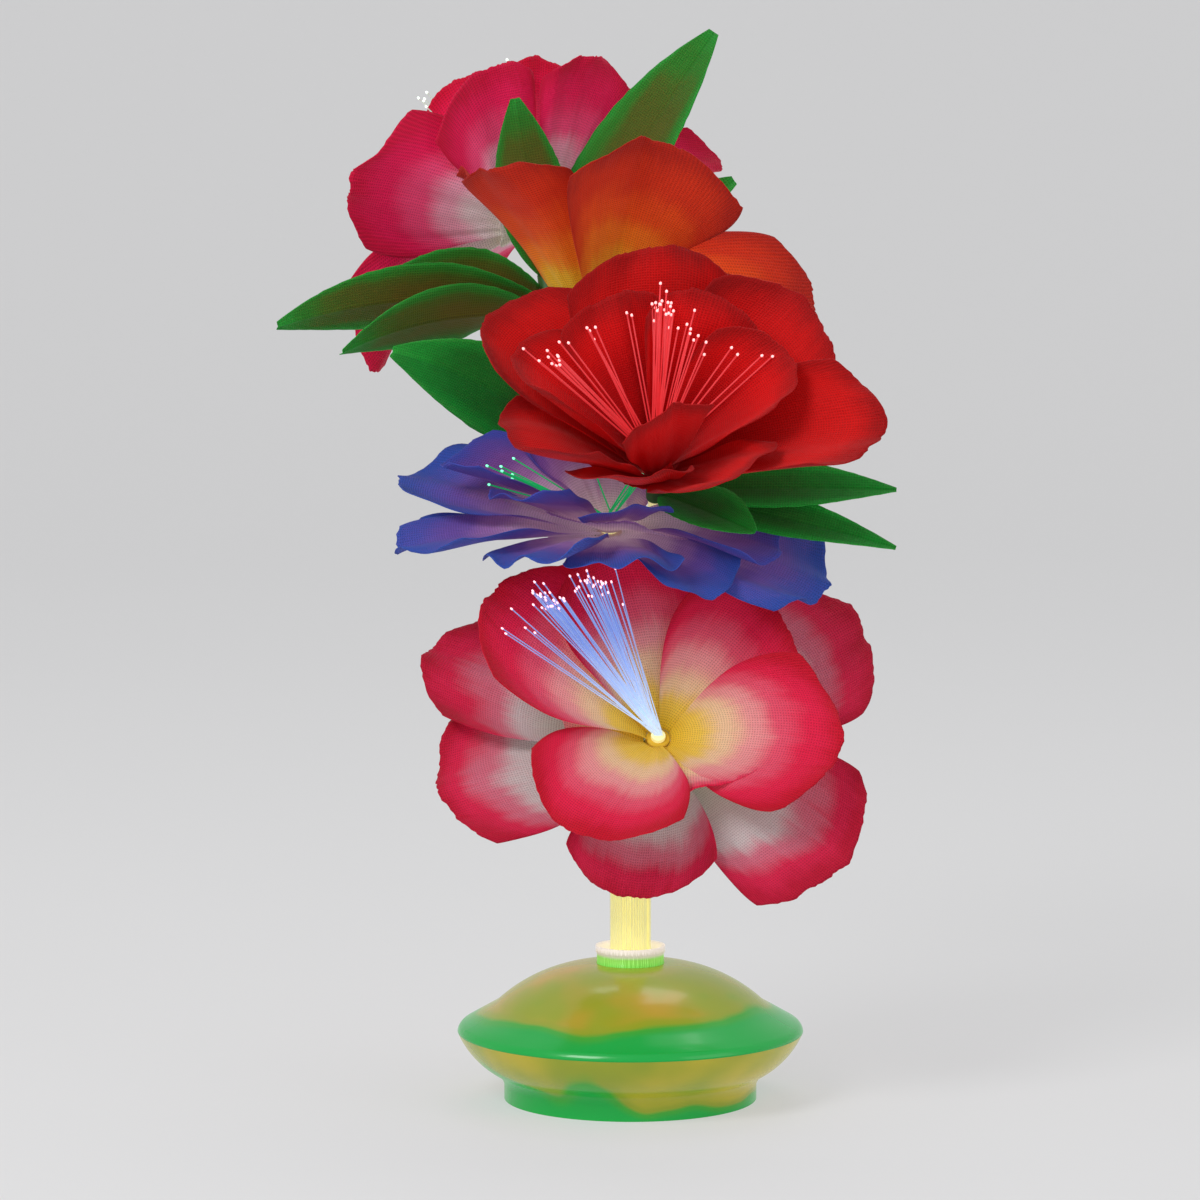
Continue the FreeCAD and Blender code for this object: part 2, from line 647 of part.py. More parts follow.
def silk_solid(surface, rows, columns, thickness):
    """A thin closed solid on both sides of a surface given as surface(along, across)."""
    front, back = [], []
    step = 1e-3
    for i in range(rows):
        front.append([])
        back.append([])
        for j in range(columns):
            along, across = i / (rows - 1), -1 + 2 * j / (columns - 1)
            a, b = max(0.0, along - step), min(1.0, along + step)
            c, d = max(-1.0, across - step), min(1.0, across + step)
            normal = (surface(b, across) - surface(a, across)).cross(
                surface(along, d) - surface(along, c)).normalize()
            centre = surface(along, across)
            front[-1].append(centre + normal * (thickness / 2))
            back[-1].append(centre - normal * (thickness / 2))
    sides = [Part.BSplineSurface(), Part.BSplineSurface()]
    for skin, grid in zip(sides, (front, back)):
        skin.interpolate(grid)
    faces = [skin.toShape() for skin in sides]
    rims = []
    for skin in sides:
        u0, u1, v0, v1 = skin.bounds()
        rims.append([skin.uIso(u0), skin.uIso(u1), skin.vIso(v0), skin.vIso(v1)])
    for one, other in zip(*rims):
        faces.append(Part.makeRuledSurface(one.toShape(), other.toShape()))
    shell = Part.Shell(faces)
    shell.sewShape()
    solid = Part.Solid(shell)
    if solid.Volume < 0:
        solid.reverse()
    return solid


def collet(radius, low, high):
    """The small moulded ring that grips the fibre bundle and carries the silk."""
    bore = number("bundle_radius") + number("fit")
    ring = Part.makeCylinder(radius, high - low, V(0, 0, low))
    return ring.cut(Part.makeCylinder(bore, high - low + 2, V(0, 0, low - 1)))


# ---------------------------------------------------------------- the bouquet
P = Petal
FLOWERS = {
    "lower_pink": {
        "outer": Layer([P(36, 66, 62, 12, 2), P(157, 66, 54, 14, -2), P(196, 60, 58, 10, -10),
                        P(262, 43, 62, -2, -40), P(325, 60, 60, 6, -16)], reach=62, wrap=42),
        "inner": Layer([P(345, 50, 58, 34, 0), P(42, 46, 52, 44, 26), P(103, 51, 42, 50, 33),
                        P(154, 60, 58, 44, 26, curl=4), P(236, 43, 68, 30, -16)], reach=52,
                       collet=3.6, height=2.8),
        "fan": (-24, -21, 38), "spread": (17, 8)},
    "purple": {
        "outer": Layer([P(346, 60, 52, 3, -23), P(72, 34, 42, 42, 30), P(122, 26, 42, 36, 20),
                        P(165, 58, 46, 16, 4), P(200, 58, 50, 12, -6), P(240, 46, 50, 26, 14),
                        P(276, 40, 50, 26, 16), P(312, 41, 46, 1, -16)], reach=60, wrap=34),
        "inner": Layer([P(342, 46, 42, 8, -14), P(84, 38, 36, 58, 52), P(130, 36, 40, 52, 44),
                        P(174, 46, 42, 28, 12), P(222, 38, 44, 34, 22), P(280, 32, 48, 36, 26)],
                       reach=50, wrap=34, collet=3.6, height=2.8),
        "fan": (-6, -7, 14), "spread": (9, 2)},
    "red": {
        "outer": Layer([P(147, 60, 54, 38, 24), P(90, 60, 58, 60, 54), P(36, 60, 54, 42, 28),
                        P(350, 66, 46, 38, 17), P(204, 50, 54, 45, 34), P(256, 42, 50, 46, 58),
                        P(306, 46, 50, 43, 48)], reach=62, lap=4.0),
        "inner": Layer([P(167, 50, 42, 50, 34), P(116, 50, 42, 70, 62), P(64, 50, 42, 70, 60),
                        P(14, 48, 42, 50, 34), P(288, 43, 72, 56, 100)], reach=52, wrap=46,
                       collet=3.6, height=2.8, lap=4.4),
        "fan": (0, -23, 40), "spread": (24, 5)},
    "orange": {
        "outer": Layer([P(358, 60, 44, 30, -24), P(229, 62, 60, 60, 42), P(293, 65, 60, 68, 54),
                        P(184, 52, 42, 62, 48), P(116, 40, 36, 78, 74), P(64, 40, 32, 76, 70)],
                       reach=56, wrap=36, collet=5.0, lap=4.4),
        "inner": Layer([P(208, 42, 34, 82, 68), P(264, 44, 34, 82, 70), P(336, 42, 34, 82, 66),
                        P(50, 36, 34, 88, 82), P(130, 36, 34, 88, 84)], reach=50, wrap=50,
                       collet=3.6, height=2.8, cup=1.0, lap=1.6, wave=0.5),
        "fan": (-1, -2, 30), "spread": (2, 2)},
    "upper_pink": {
        "outer": Layer([P(262, 47, 50, 60, 56), P(214, 58, 38, 20, 4), P(166, 60, 40, -8, -44),
                        P(130, 54, 50, 20, 0), P(74, 54, 50, 24, 0), P(16, 58, 50, 24, 0),
                        P(318, 49, 50, 54, 46)], reach=58, wrap=35, lap=4.8),
        "inner": Layer([P(235, 44, 42, 68, 64), P(300, 44, 42, 70, 64), P(0, 46, 42, 50, 40),
                        P(72, 46, 42, 46, 34), P(150, 46, 42, 46, 34)], reach=50, collet=3.6,
                       height=2.8),
        "fan": (-8, 13, 36), "spread": (19, 5)},
}

# Each bundle's route above the straight stem, and the order of the bundles round the ring,
# counted from the back.
ROUTES = {
    "lower_pink": [(3.2, -3.4, 86), (7.0, -7.4, 95.5), (7.4, -14, 102)],
    "purple": [(-3.2, -1.4, 86), (-5, -0.5, 104), (-6.2, 0.5, 136), (-6.1, -1, 150),
               (-6, -4, 160)],
    "red": [(4.4, 2.4, 86), (5.5, 6.0, 106), (5.6, 15.5, 140), (5.8, 17, 156), (6.4, 12, 165.4),
            (6.8, 4.5, 165.6), (6.9, 0.6, 167.0), (6.8, -10, 178)],
    "orange": [(-0.6, 6.4, 86), (-2, 12, 104), (-7.5, 26, 145), (-8, 28, 165), (-9, 26, 190),
               (-9.8, 20.8, 206), (-10, 20, 217)],
    "upper_pink": [(-5.1, 4.4, 86), (-8, 13, 108), (-13, 26, 150), (-16, 31, 175), (-21, 40, 208),
                   (-24.6, 49.8, 234), (-27, 54, 243)],
}
RING_ORDER = ("orange", "upper_pink", "purple", "lower_pink", "red")

# Leaf sprays: the bundle each sits on, the run of its route and how far along that run.
L = Leaf
SPRAYS = {
    "leaf_spray_low": ("red", 6, 0.48, [
        L(-48, 40, 18, 26, 20, 0, 0), L(-4, 64, 16, 9, 0, 6, -0.8),
        L(-16, 66, 14, 6, -8, 6, -2.6)]),
    "leaf_spray_mid": ("orange", 3, 0.52, [
        L(212, 74, 26, 44, 18, 76, 0), L(200, 36, 12, 20, 8, 30, -1.2)]),
    "leaf_spray_top": ("upper_pink", 4, 0.5, [
        L(-23, 84, 26, 49, 44, 78, 6), L(-96, 52, 16, 54, 62, 0, 8), L(-6, 62, 24, 34, 24, 70, -2),
        L(194, 48, 22, 14, -8, 40, 4), L(206, 84, 22, 6, -18, 40, 0),
        L(216, 74, 20, 0, -26, 40, -4)]),
}


def bundle_route(name):
    """The bundle's corner points from the ferrule to a little past its flower's hub."""
    angle = math.radians(90 + 360 / len(RING_ORDER) * RING_ORDER.index(name))
    x, y = ring_radius.number * math.cos(angle), ring_radius.number * math.sin(angle)
    bend = number("sleeve_top") + number("stem_free")
    points = [V(x, y, ferrule_low.number), V(x, y, bend)] + [V(*p) for p in ROUTES[name]]
    end = (points[-1] - points[-2]).normalize()
    points[-1] = points[-1] + end * number("throat")
    return points


def hub_placement(name):
    """Where a flower sits: its hub at the last point of the route, its axis along the bundle."""
    hub, before = V(*ROUTES[name][-1]), V(*ROUTES[name][-2])
    return facing(hub, hub - before)


def flower_layer(name, which):
    """One ring of petals with its collet, placed on its bundle."""
    layer = FLOWERS[name][which]
    place = hub_placement(name)
    top = layer.height + number("collet_height") / 2
    solids = [collet(layer.collet - number("collet_gap"), top - number("collet_height"), top)]
    for petal in layer.petals:
        solids.append(silk_solid(lambda along, across: layer.point(petal, along, across), 7, 7,
                                 number("silk_thickness")))
    feature = add_feature("%s_%s_petals" % (name, which), Part.makeCompound(solids))
    feature.Placement = place


def fibre_fan(name):
    """The bare fibre ends: one in the middle, six round it and twelve round those."""
    place = hub_placement(name)
    radius, pitch = number("fibre_radius"), number("fibre_pitch")
    mean = V(*FLOWERS[name]["fan"])
    across, up = FLOWERS[name]["spread"]
    ahead = V(mean).normalize()
    side = ahead.cross(V(0, 0, 1)).normalize()
    rise = side.cross(ahead)
    tilt = ahead.getAngle(place.Rotation.multVec(V(0, 0, 1)))
    clear = (2 * pitch + radius) * math.sin(tilt) + 2 * number("fit")
    throat = place.multVec(V(0, 0, number("throat") + clear))
    fibres = []
    for ring in range(3):
        for k in range(max(1, 6 * ring)):
            angle = 2 * math.pi * (k + 0.5 * (ring == 1)) / max(1, 6 * ring)
            u, v = pitch * ring * math.cos(angle), pitch * ring * math.sin(angle)
            length = 1.0 - 0.035 * ((5 * k + 3 * ring) % 7)
            start = throat + side * u + rise * v
            tip = throat + (mean + side * (across * u / (2 * pitch))
                            + rise * (up * v / (2 * pitch))) * length
            fibres.append(Part.makeCylinder(radius, (tip - start).Length, start, tip - start))
    add_feature("%s_fibres" % name, Part.makeCompound(fibres))


def make_flower(name):
    """A flower: its fibre bundle, calyx, two rings of petals and bare fibre ends."""
    add_feature("fibre_bundle_%s" % name, tube(bundle_route(name), number("bundle_radius")))
    bore = size("bundle_radius") + size("fit")
    top = -size("calyx_drop")
    turned_piece("%s_calyx" % name, [
        (bore, top - size("calyx_length")), (bore + size("fit") * 4, top - size("calyx_length")),
        (size("calyx_radius") * 0.8, top - size("calyx_length") * 0.6), (size("calyx_radius"), top),
        (bore, top)], at=hub_placement(name))
    flower_layer(name, "outer")
    flower_layer(name, "inner")
    fibre_fan(name)


def make_spray(label):
    """A spray of leaves on a wrapped sleeve round its bundle."""
    name, run, share, leaves = SPRAYS[label]
    low, high = V(*ROUTES[name][run]), V(*ROUTES[name][run + 1])
    place = facing(low + (high - low) * share, high - low)
    heights = [leaf.height for leaf in leaves]
    margin = number("collet_height") / 2
    solids = [collet(number("leaf_root") - 0.5 * number("collet_gap"), min(heights) - margin,
                     max(heights) + margin)]
    for leaf in leaves:
        solids.append(silk_solid(leaf.point, 7, 5, number("silk_thickness")))
    feature = add_feature(label, Part.makeCompound(solids))
    feature.Placement = place


# ---------------------------------------------------------------- wiring
def make_wiring():
    """Leads from the tray's end contacts and the switch to the board, and the resistors."""
    board, wire = board_top.number, number("wire_radius")
    high, pad = board + number("lead_rise"), number("pad_offset")
    end = tray_inner_y.number / 2 - number("lead_inset")
    for label, way in (("battery_lead_positive", 1), ("battery_lead_negative", -1)):
        x = way * number("lead_offset")
        add_feature(label, tube([(x, way * end, tray_top.number), (x, way * end, high),
                                 (x, way * pad, high), (x, way * pad, board)], wire))
    x = switch_x.number
    add_feature("switch_lead", tube([(x, 0, floor_top.number + number("switch_height")),
                                     (x, 0, high), (pad, 0, high), (pad, 0, board)], wire))
    length, width = number("resistor_length"), number("resistor_width")
    corner = number("resistor_x") - length / 2
    add_feature("board_resistors", Part.makeCompound([
        Part.makeBox(length, width, number("resistor_height"),
                     V(corner, row * number("resistor_pitch") - width / 2, board))
        for row in (-3, 2, 3)]))


# ---------------------------------------------------------------- build and export
make_lower_shell()
make_upper_shell()
make_stem_pieces()
make_light_engine()
make_batteries()
make_door()
make_switch()
make_wiring()
for flower in FLOWERS:
    make_flower(flower)
for spray in SPRAYS:
    make_spray(spray)
doc.recompute()

for thing in doc.Objects:
    if any(state in thing.State for state in ("Invalid", "Error")):
        raise ValueError("%s is in state %s" % (thing.Label, thing.State))
pieces = [o for o in doc.Objects if o.TypeId in ("PartDesign::Body", "Part::Feature")]
for piece in pieces:
    if piece.Shape.isNull() or not piece.Shape.isValid():
        raise ValueError("%s has no valid shape" % piece.Label)
for piece in pieces:
    piece.Shape.exportStep("parts/%s.step" % piece.Label)
print("exported", len(pieces), "pieces")
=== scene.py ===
"""Dresses the fibre-optic flower lamp: silk flowers and leaves, glowing fibres, the lit base."""

import logging
import math
from dataclasses import dataclass, field
from enum import Enum
from typing import Callable, Iterable

import bmesh
import bpy
import numpy as np
from bpy.types import ID, Material, Mesh, NodeSocket, NodeTree, Object
from mathutils import Matrix, Vector


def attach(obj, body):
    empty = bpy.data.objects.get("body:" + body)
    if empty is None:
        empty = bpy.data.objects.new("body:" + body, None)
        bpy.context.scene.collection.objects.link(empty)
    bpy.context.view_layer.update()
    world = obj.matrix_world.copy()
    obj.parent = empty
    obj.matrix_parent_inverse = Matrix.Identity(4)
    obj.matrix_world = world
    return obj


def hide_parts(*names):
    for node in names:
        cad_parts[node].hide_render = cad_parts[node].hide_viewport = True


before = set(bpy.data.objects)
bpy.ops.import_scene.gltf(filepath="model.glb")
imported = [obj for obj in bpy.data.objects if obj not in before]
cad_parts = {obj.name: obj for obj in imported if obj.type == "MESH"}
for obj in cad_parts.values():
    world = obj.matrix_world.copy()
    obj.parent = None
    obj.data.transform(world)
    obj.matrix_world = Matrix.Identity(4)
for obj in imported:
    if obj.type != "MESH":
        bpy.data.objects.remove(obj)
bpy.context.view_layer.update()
LOG = logging.getLogger("flower_lamp")
MM = 0.001
LAMP = "lamp"
CLOTH_THICKNESS = 0.24
LEAST_FILL = 0.34
FIBRE_SIDES = 6
Colour = tuple[float, float, float]
Point = tuple[float, float, float]
Place = tuple[float, float]
Stops = tuple[tuple[float, Colour], ...]


# ------------------------------ colours
def shown(red: float, green: float, blue: float) -> Colour:
    """The linear colour that is seen on a screen as this one in percent."""
    return tuple(c / 12.92 if c <= 0.04045 else ((c + 0.055) / 1.055) ** 2.4
                 for c in (red / 100, green / 100, blue / 100))


def dyed(*stops: tuple[float, ...]) -> Stops:
    """A run of colours from places and screen colours, all in percent."""
    return tuple((place / 100, shown(*seen)) for place, *seen in stops)


def scaled(colour: Colour, factor: float) -> Colour:
    """The colour with each channel multiplied by a factor."""
    return tuple(factor * channel for channel in colour)


# ------------------------------ shader helpers
@dataclass(frozen=True)
class Value:
    """A node's output; adding, subtracting or multiplying makes Math nodes."""

    graph: "Graph"
    socket: NodeSocket

    def __add__(self, other: "Value | float") -> "Value":
        """This value plus the other."""
        return self.graph.math("ADD", self, other)

    def __sub__(self, other: "Value | float") -> "Value":
        """This value minus the other."""
        return self.graph.math("SUBTRACT", self, other)

    def __mul__(self, other: "Value | float") -> "Value":
        """This value times the other."""
        return self.graph.math("MULTIPLY", self, other)

    def clamped(self) -> "Value":
        """This Math node's result, kept between 0 and 1."""
        self.socket.node.use_clamp = True
        return self

    def beside(self, name: str) -> "Value":
        """The output of that name on the same node."""
        return Value(self.graph, self.socket.node.outputs[name])


Given = Value | float | tuple


@dataclass(frozen=True)
class Graph:
    """Builds one node tree with short calls."""

    tree: NodeTree

    def node(self, kind: str, inputs: dict[str | int, Given] | None = None,
             output: str | int = 0, **settings: object) -> Value:
        """Adds a node.

        Args:
            kind: the node's type name without its ShaderNode prefix.
            inputs: what its sockets are given, by name or number.
            output: the output that is wanted.
            settings: properties of the node itself.

        Returns:
            The wanted output.
        """
        made = self.tree.nodes.new("ShaderNode" + kind)
        for name, value in settings.items():
            setattr(made, name, value)
        for name, value in (inputs or {}).items():
            self.feed(made.inputs[name], value)
        return Value(self, made.outputs[output])

    def feed(self, socket: NodeSocket, value: Given) -> None:
        """Gives a socket a link or a plain value.

        Args:
            socket: the input.
            value: what it is given; a colour comes without its alpha.
        """
        if isinstance(value, Value):
            self.tree.links.new(value.socket, socket)
        else:
            socket.default_value = (*value, 1.0) if socket.type == "RGBA" else value

    def math(self, operation: str, first: Given, second: Given = 0.0) -> Value:
        """The result of a Math node."""
        return self.node("Math", {0: first, 1: second}, operation=operation)

    def mix(self, factor: Given, first: Given, second: Given, blend: str = "MIX") -> Value:
        """A mix of two colours; the factor is the second one's share."""
        return self.node("Mix", {0: factor, 6: first, 7: second}, 2, data_type="RGBA",
                         blend_type=blend)

    def ramp(self, factor: Value, stops: Stops, easing: str = "EASE") -> Value:
        """Looks a value up in a run of colours.

        Args:
            factor: the value from 0 to 1.
            stops: the run.
            easing: how one colour passes into the next.

        Returns:
            The colour.
        """
        found = self.node("ValToRGB", {"Fac": factor})
        run = found.socket.node.color_ramp
        run.interpolation = easing
        for i, (place, colour) in enumerate(stops):
            element = run.elements[i] if i < 2 else run.elements.new(place)
            element.position = place
            element.color = (*colour, 1.0)
        return found

    def share(self, value: Value, start: float, end: float, easing: str = "LINEAR") -> Value:
        """How far a value is on its way from start to end, from 0 to 1."""
        return self.node("MapRange", {"Value": value, "From Min": start, "From Max": end},
                         interpolation_type=easing)

    def noise(self, vector: Value, scale: Given, detail: float = 2.0,
              roughness: float = 0.5) -> Value:
        """Grey noise round 0.5; detail is the number of finer octaves."""
        return self.node("TexNoise", {"Vector": vector, "Scale": scale, "Detail": detail,
                                      "Roughness": roughness}, "Fac")

    def attribute(self, name: str) -> Value:
        """A value stored on the mesh, by its name."""
        return self.node("Attribute", output="Fac", attribute_name=name)

    def place(self) -> Value:
        """The place on the piece, in metres."""
        return self.node("TexCoord", output="Object")

    def bump(self, height: Value, distance: float, strength: float = 1.0) -> Value:
        """The normal of a height; distance is what 1 of it stands for, in metres."""
        return self.node("Bump", {"Height": height, "Distance": distance, "Strength": strength})

    def seen_directly(self) -> Value:
        """Masks what the camera sees directly, in gloss or through glass.

        Returns:
            1 there and 0 elsewhere.
        """
        camera = self.node("LightPath", output="Is Camera Ray")
        indirect = self.math("MAXIMUM", camera.beside("Is Glossy Ray"),
                             camera.beside("Is Transmission Ray"))
        return self.math("MAXIMUM", camera, indirect)


Work = Callable[[Graph, dict[str, Value]], tuple[Value, ...]]


def new_group(name: str, inputs: dict[str, float], outputs: tuple[str, ...],
              work: Work) -> NodeTree:
    """Makes a shared node group.

    Args:
        name: the group's name.
        inputs: float inputs with their defaults; it also has a Vector input.
        outputs: names of the float outputs.
        work: makes the outputs in that order from a graph and the inputs by name.

    Returns:
        The group.
    """
    tree = bpy.data.node_groups.new(name, "ShaderNodeTree")
    tree.interface.new_socket("Vector", in_out="INPUT", socket_type="NodeSocketVector")
    for title, value in inputs.items():
        socket = tree.interface.new_socket(title, in_out="INPUT", socket_type="NodeSocketFloat")
        socket.default_value = value
    for title in outputs:
        tree.interface.new_socket(title, in_out="OUTPUT", socket_type="NodeSocketFloat")
    source, sink = tree.nodes.new("NodeGroupInput"), tree.nodes.new("NodeGroupOutput")
    graph = Graph(tree)
    given = {socket.name: Value(graph, socket) for socket in source.outputs}
    for title, value in zip(outputs, work(graph, given)):
        graph.feed(sink.inputs[title], value)
    return tree


def weave(graph: Graph, given: dict[str, Value]) -> tuple[Value, ...]:
    """Plain weave: crossing threads seen as a height and as a mask of the gaps between them, which
    the silk uses for painted shade.

    Args:
        graph: the group's graph.
        given: a Vector in mm, the threads' Pitch in mm and how far they wander (Slub).

    Returns:
        The height and the gaps.
    """
    wobble = (graph.noise(given["Vector"], 0.9) - 0.5) * given["Slub"]
    parts = graph.node("SeparateXYZ", {0: given["Vector"]})
    waves = []
    for axis in ("X", "Y"):
        turns = graph.math("DIVIDE", parts.beside(axis) + wobble, given["Pitch"])
        waves.append(graph.math("ABSOLUTE", graph.math("SINE", turns * math.pi)))
    hole = graph.math("MINIMUM", *waves)
    return graph.math("SUBTRACT", 1.0, hole), (hole * 1.8 - 0.8).clamped()


def scuffs(graph: Graph, given: dict[str, Value]) -> tuple[Value, ...]:
    """Handling marks on plastic, as a change of roughness, and its fine grain."""
    marks = (graph.noise(given["Vector"], 18.0, 4.0, 0.6) - 0.45) * given["Amount"]
    return marks, graph.noise(given["Vector"], given["Scale"], 5.0)


class Shared:
    """The node groups that several finishes use."""

    weave: NodeTree
    scuffs: NodeTree

    @classmethod
    def build(cls) -> None:
        """Makes each shared group once."""
        cls.weave = new_group("silk_weave", {"Pitch": 0.5, "Slub": 0.25}, ("Height", "Gap"), weave)
        cls.scuffs = new_group("handling_marks", {"Scale": 60.0, "Amount": 0.15},
                               ("Marks", "Grain"), scuffs)


# ------------------------------ finishes
@dataclass(frozen=True)
class Finish:
    """A material; each kind says what its Principled shader is given."""

    name: str

    def build(self) -> Material:
        """Makes the material.

        Returns:
            The material.
        """
        made = bpy.data.materials.new(self.name)
        made.use_nodes = True
        graph = Graph(made.node_tree)
        shader = made.node_tree.nodes["Principled BSDF"]
        for name, value in self.sockets(graph).items():
            graph.feed(shader.inputs[name], value)
        return made

    def sockets(self, graph: Graph) -> dict[str, Given]:
        """Makes the nodes before the shader.

        Args:
            graph: the material's graph.

        Returns:
            What the shader's sockets are given, by name.
        """
        raise NotImplementedError


@dataclass(frozen=True)
class SilkFinish(Finish):
    """Dyed woven silk: the dye runs from the petal's root to its rim, and the cloth has a painted
    glow.

    Attributes:
        dye: colour stops from the root (0) to the rim (1).
        glow: a painted glow, an emission that makes the cloth shine as if light came through it.
        blotch: how far the dye wanders in soft patches.
        streak: how far the dye bleeds along the threads.
        pitch: the distance between threads in mm.
    """

    dye: Stops
    glow: float
    blotch: float = 0.34
    streak: float = 0.13
    pitch: float = 0.74

    def sockets(self, graph: Graph) -> dict[str, Given]:
        """Makes the dye, the threads with painted shade in their gaps, the painted glow and the
        pressed veins.

        Args:
            graph: the material's graph.

        Returns:
            What the shader's sockets are given, by name.
        """
        along, across = graph.attribute("along"), graph.attribute("across")
        fan = graph.node("CombineXYZ", {0: across * 5.0, 1: along * 0.8,
                                        2: graph.attribute("seed")})
        streaks, patches = graph.noise(fan, 2.4, 4.0, 0.6), graph.noise(graph.place(), 48.0)
        bleed = (streaks - 0.5) * self.streak + (patches - 0.5) * self.blotch
        dye = graph.ramp((graph.attribute("rim") + bleed).clamped(), self.dye)
        gap = graph.node("Group", {"Vector": graph.node("UVMap", uv_map="cloth"),
                                   "Pitch": self.pitch}, "Gap", node_tree=Shared.weave)
        # Painted shade: the gaps between the threads are pulled towards a dim tint, as if shade
        # fell into them.
        painted_gap_shade = graph.mix(1.0, dye, (0.42, 0.36, 0.38), "MULTIPLY")
        colour = graph.mix(gap * 0.66, dye, painted_gap_shade)
        crease = gap.beside("Height") * 0.5 + graph.noise(fan, 9.0)
        # Painted glow: the emission makes the silk shine on its own, as if light came through it.
        return {"Base Color": colour, "Emission Color": colour, "Emission Strength": self.glow,
                "Roughness": 0.66, "Sheen Weight": 0.05, "Specular IOR Level": 0.18,
                "Subsurface Weight": 0.12, "Subsurface Radius": (0.004, 0.002, 0.002),
                "Subsurface Scale": 0.5, "Normal": graph.bump(crease, 0.00030, 0.8)}


@dataclass(frozen=True)
class MouldedFinish(Finish):
    """Moulded plastic or rubber with faint handling marks; grain is in metres."""

    colour: Colour
    roughness: float
    grain: float = 0.00003
    coat: float = 0.0

    def sockets(self, graph: Graph) -> dict[str, Given]:
        """Makes the grain and the handling marks.

        Args:
            graph: the material's graph.

        Returns:
            What the shader's sockets are given, by name.
        """
        marks = graph.node("Group", {"Vector": graph.place(), "Scale": 900.0}, "Marks",
                           node_tree=Shared.scuffs)
        grain = marks.beside("Grain")
        return {"Base Color": graph.mix(grain * 0.4, self.colour, scaled(self.colour, 0.82)),
                "Roughness": (marks + self.roughness).clamped(), "Coat Weight": self.coat,
                "Normal": graph.bump(grain, self.grain)}


@dataclass(frozen=True)
class MetalFinish(Finish):
    """Plated or brushed metal."""

    colour: Colour
    roughness: float

    def sockets(self, graph: Graph) -> dict[str, Given]:
        """Makes the brushed lines.

        Args:
            graph: the material's graph.

        Returns:
            What the shader's sockets are given, by name.
        """
        brushed = graph.node("Mapping", {"Vector": graph.place(), "Scale": (1200.0, 60.0, 1200.0)})
        lines = graph.noise(brushed, 1.0, 3.0)
        return {"Metallic": 1.0, "Roughness": lines * 0.2 + self.roughness,
                "Base Color": graph.mix(lines * 0.3, self.colour, scaled(self.colour, 0.6))}


@dataclass(frozen=True)
class LitShellFinish(Finish):
    """Translucent shell lit from inside: amber over the diodes, green where the light runs out.

    Attributes:
        reach: distances from the axis in metres between which amber gives way to green.
        band: heights in metres between which green gives way to amber.
        amber: the colour over the diodes.
        glow: how strongly the shell shines.
    """

    reach: tuple[float, float]
    band: tuple[float, float]
    amber: Colour
    glow: float = 0.54

    def sockets(self, graph: Graph) -> dict[str, Given]:
        """Makes the light's soft patches.

        Args:
            graph: the material's graph.

        Returns:
            What the shader's sockets are given, by name.
        """
        place = graph.place()
        parts = graph.node("SeparateXYZ", {0: place})
        flat = graph.node("CombineXYZ", {0: parts, 1: parts.beside("Y")})
        distance = graph.node("VectorMath", {0: flat}, "Value", operation="LENGTH")
        drift = (graph.noise(place, 24.0, 1.5, 0.45) - 0.5) * 0.024
        near, far = self.reach
        inward = graph.share(distance + drift, far, near, "SMOOTHSTEP")
        raised = graph.share(parts.beside("Z") + drift * 1.6, *self.band, "SMOOTHSTEP")
        warmth = (inward * raised * (graph.noise(place, 42.0) + 0.24)).clamped()
        green = dyed((0, 0, 55, 21), (34, 18, 54, 16), (62, 48, 52, 12))
        colour = graph.ramp(warmth, (*green, (1.0, self.amber)))
        grain = graph.node("Group", {"Vector": place}, "Grain", node_tree=Shared.scuffs)
        return {"Base Color": colour, "Emission Color": colour, "Emission Strength": self.glow,
                "Roughness": 0.24, "Specular IOR Level": 0.36, "Coat Weight": 0.2,
                "Coat Roughness": 0.08, "Normal": graph.bump(grain, 0.00004, 0.5)}


@dataclass(frozen=True)
class LitFibreFinish(Finish):
    """Clear fibre carrying light: a coloured shaft and a bright cut end.

    Attributes:
        root: the colour where the fibre leaves the throat.
        shaft: the colour along the fibre.
        end: the colour of its cut end.
        shaft_glow: how strongly the fibre shines along its length.
        end_glow: how strongly its end shines.
        turns: where root, shaft, shaft and end stand along the fibre.
    """

    root: Colour
    shaft: Colour
    end: Colour
    shaft_glow: float
    end_glow: float
    turns: tuple[float, ...] = (0.0, 0.55, 0.80, 0.85)

    def sockets(self, graph: Graph) -> dict[str, Given]:
        """Makes the colour and the light along the fibre.

        Args:
            graph: the material's graph.

        Returns:
            What the shader's sockets are given, by name.
        """
        along = graph.attribute("along")
        runs = []
        for dim in (1.0, self.shaft_glow / self.end_glow):
            root, shaft = scaled(self.root, dim), scaled(self.shaft, dim)
            stops = tuple(zip(self.turns, (root, shaft, shaft, self.end)))
            runs.append(graph.ramp(along, stops, "LINEAR"))
        colour, light = runs
        strands = graph.noise(graph.place(), 700.0)
        return {"Base Color": graph.mix(strands * 0.35, colour, scaled(self.shaft, 0.5)),
                "Emission Color": light, "Emission Strength": self.end_glow, "Roughness": 0.25}


@dataclass(frozen=True)
class LitCollarFinish(Finish):
    """Frosted clear plastic that carries the green light up to a pale rim."""

    def sockets(self, graph: Graph) -> dict[str, Given]:
        """Makes the frost and the light's rise.

        Args:
            graph: the material's graph.

        Returns:
            What the shader's sockets are given, by name.
        """
        place = graph.place()
        height = graph.node("SeparateXYZ", {0: place}, "Z")
        frost = graph.noise(place, 260.0, 4.0)
        level = (graph.share(height, 0.0375, 0.0425) + (frost - 0.5) * 0.05).clamped()
        colour = graph.ramp(level, dyed((0, 45, 85, 30), (55, 62, 93, 42), (80, 93, 90, 86),
                                        (100, 97, 93, 90)))
        return {"Base Color": colour, "Emission Color": colour, "Emission Strength": 0.35,
                "Roughness": 0.5, "Coat Weight": 0.1, "Normal": graph.bump(frost, 0.000008)}


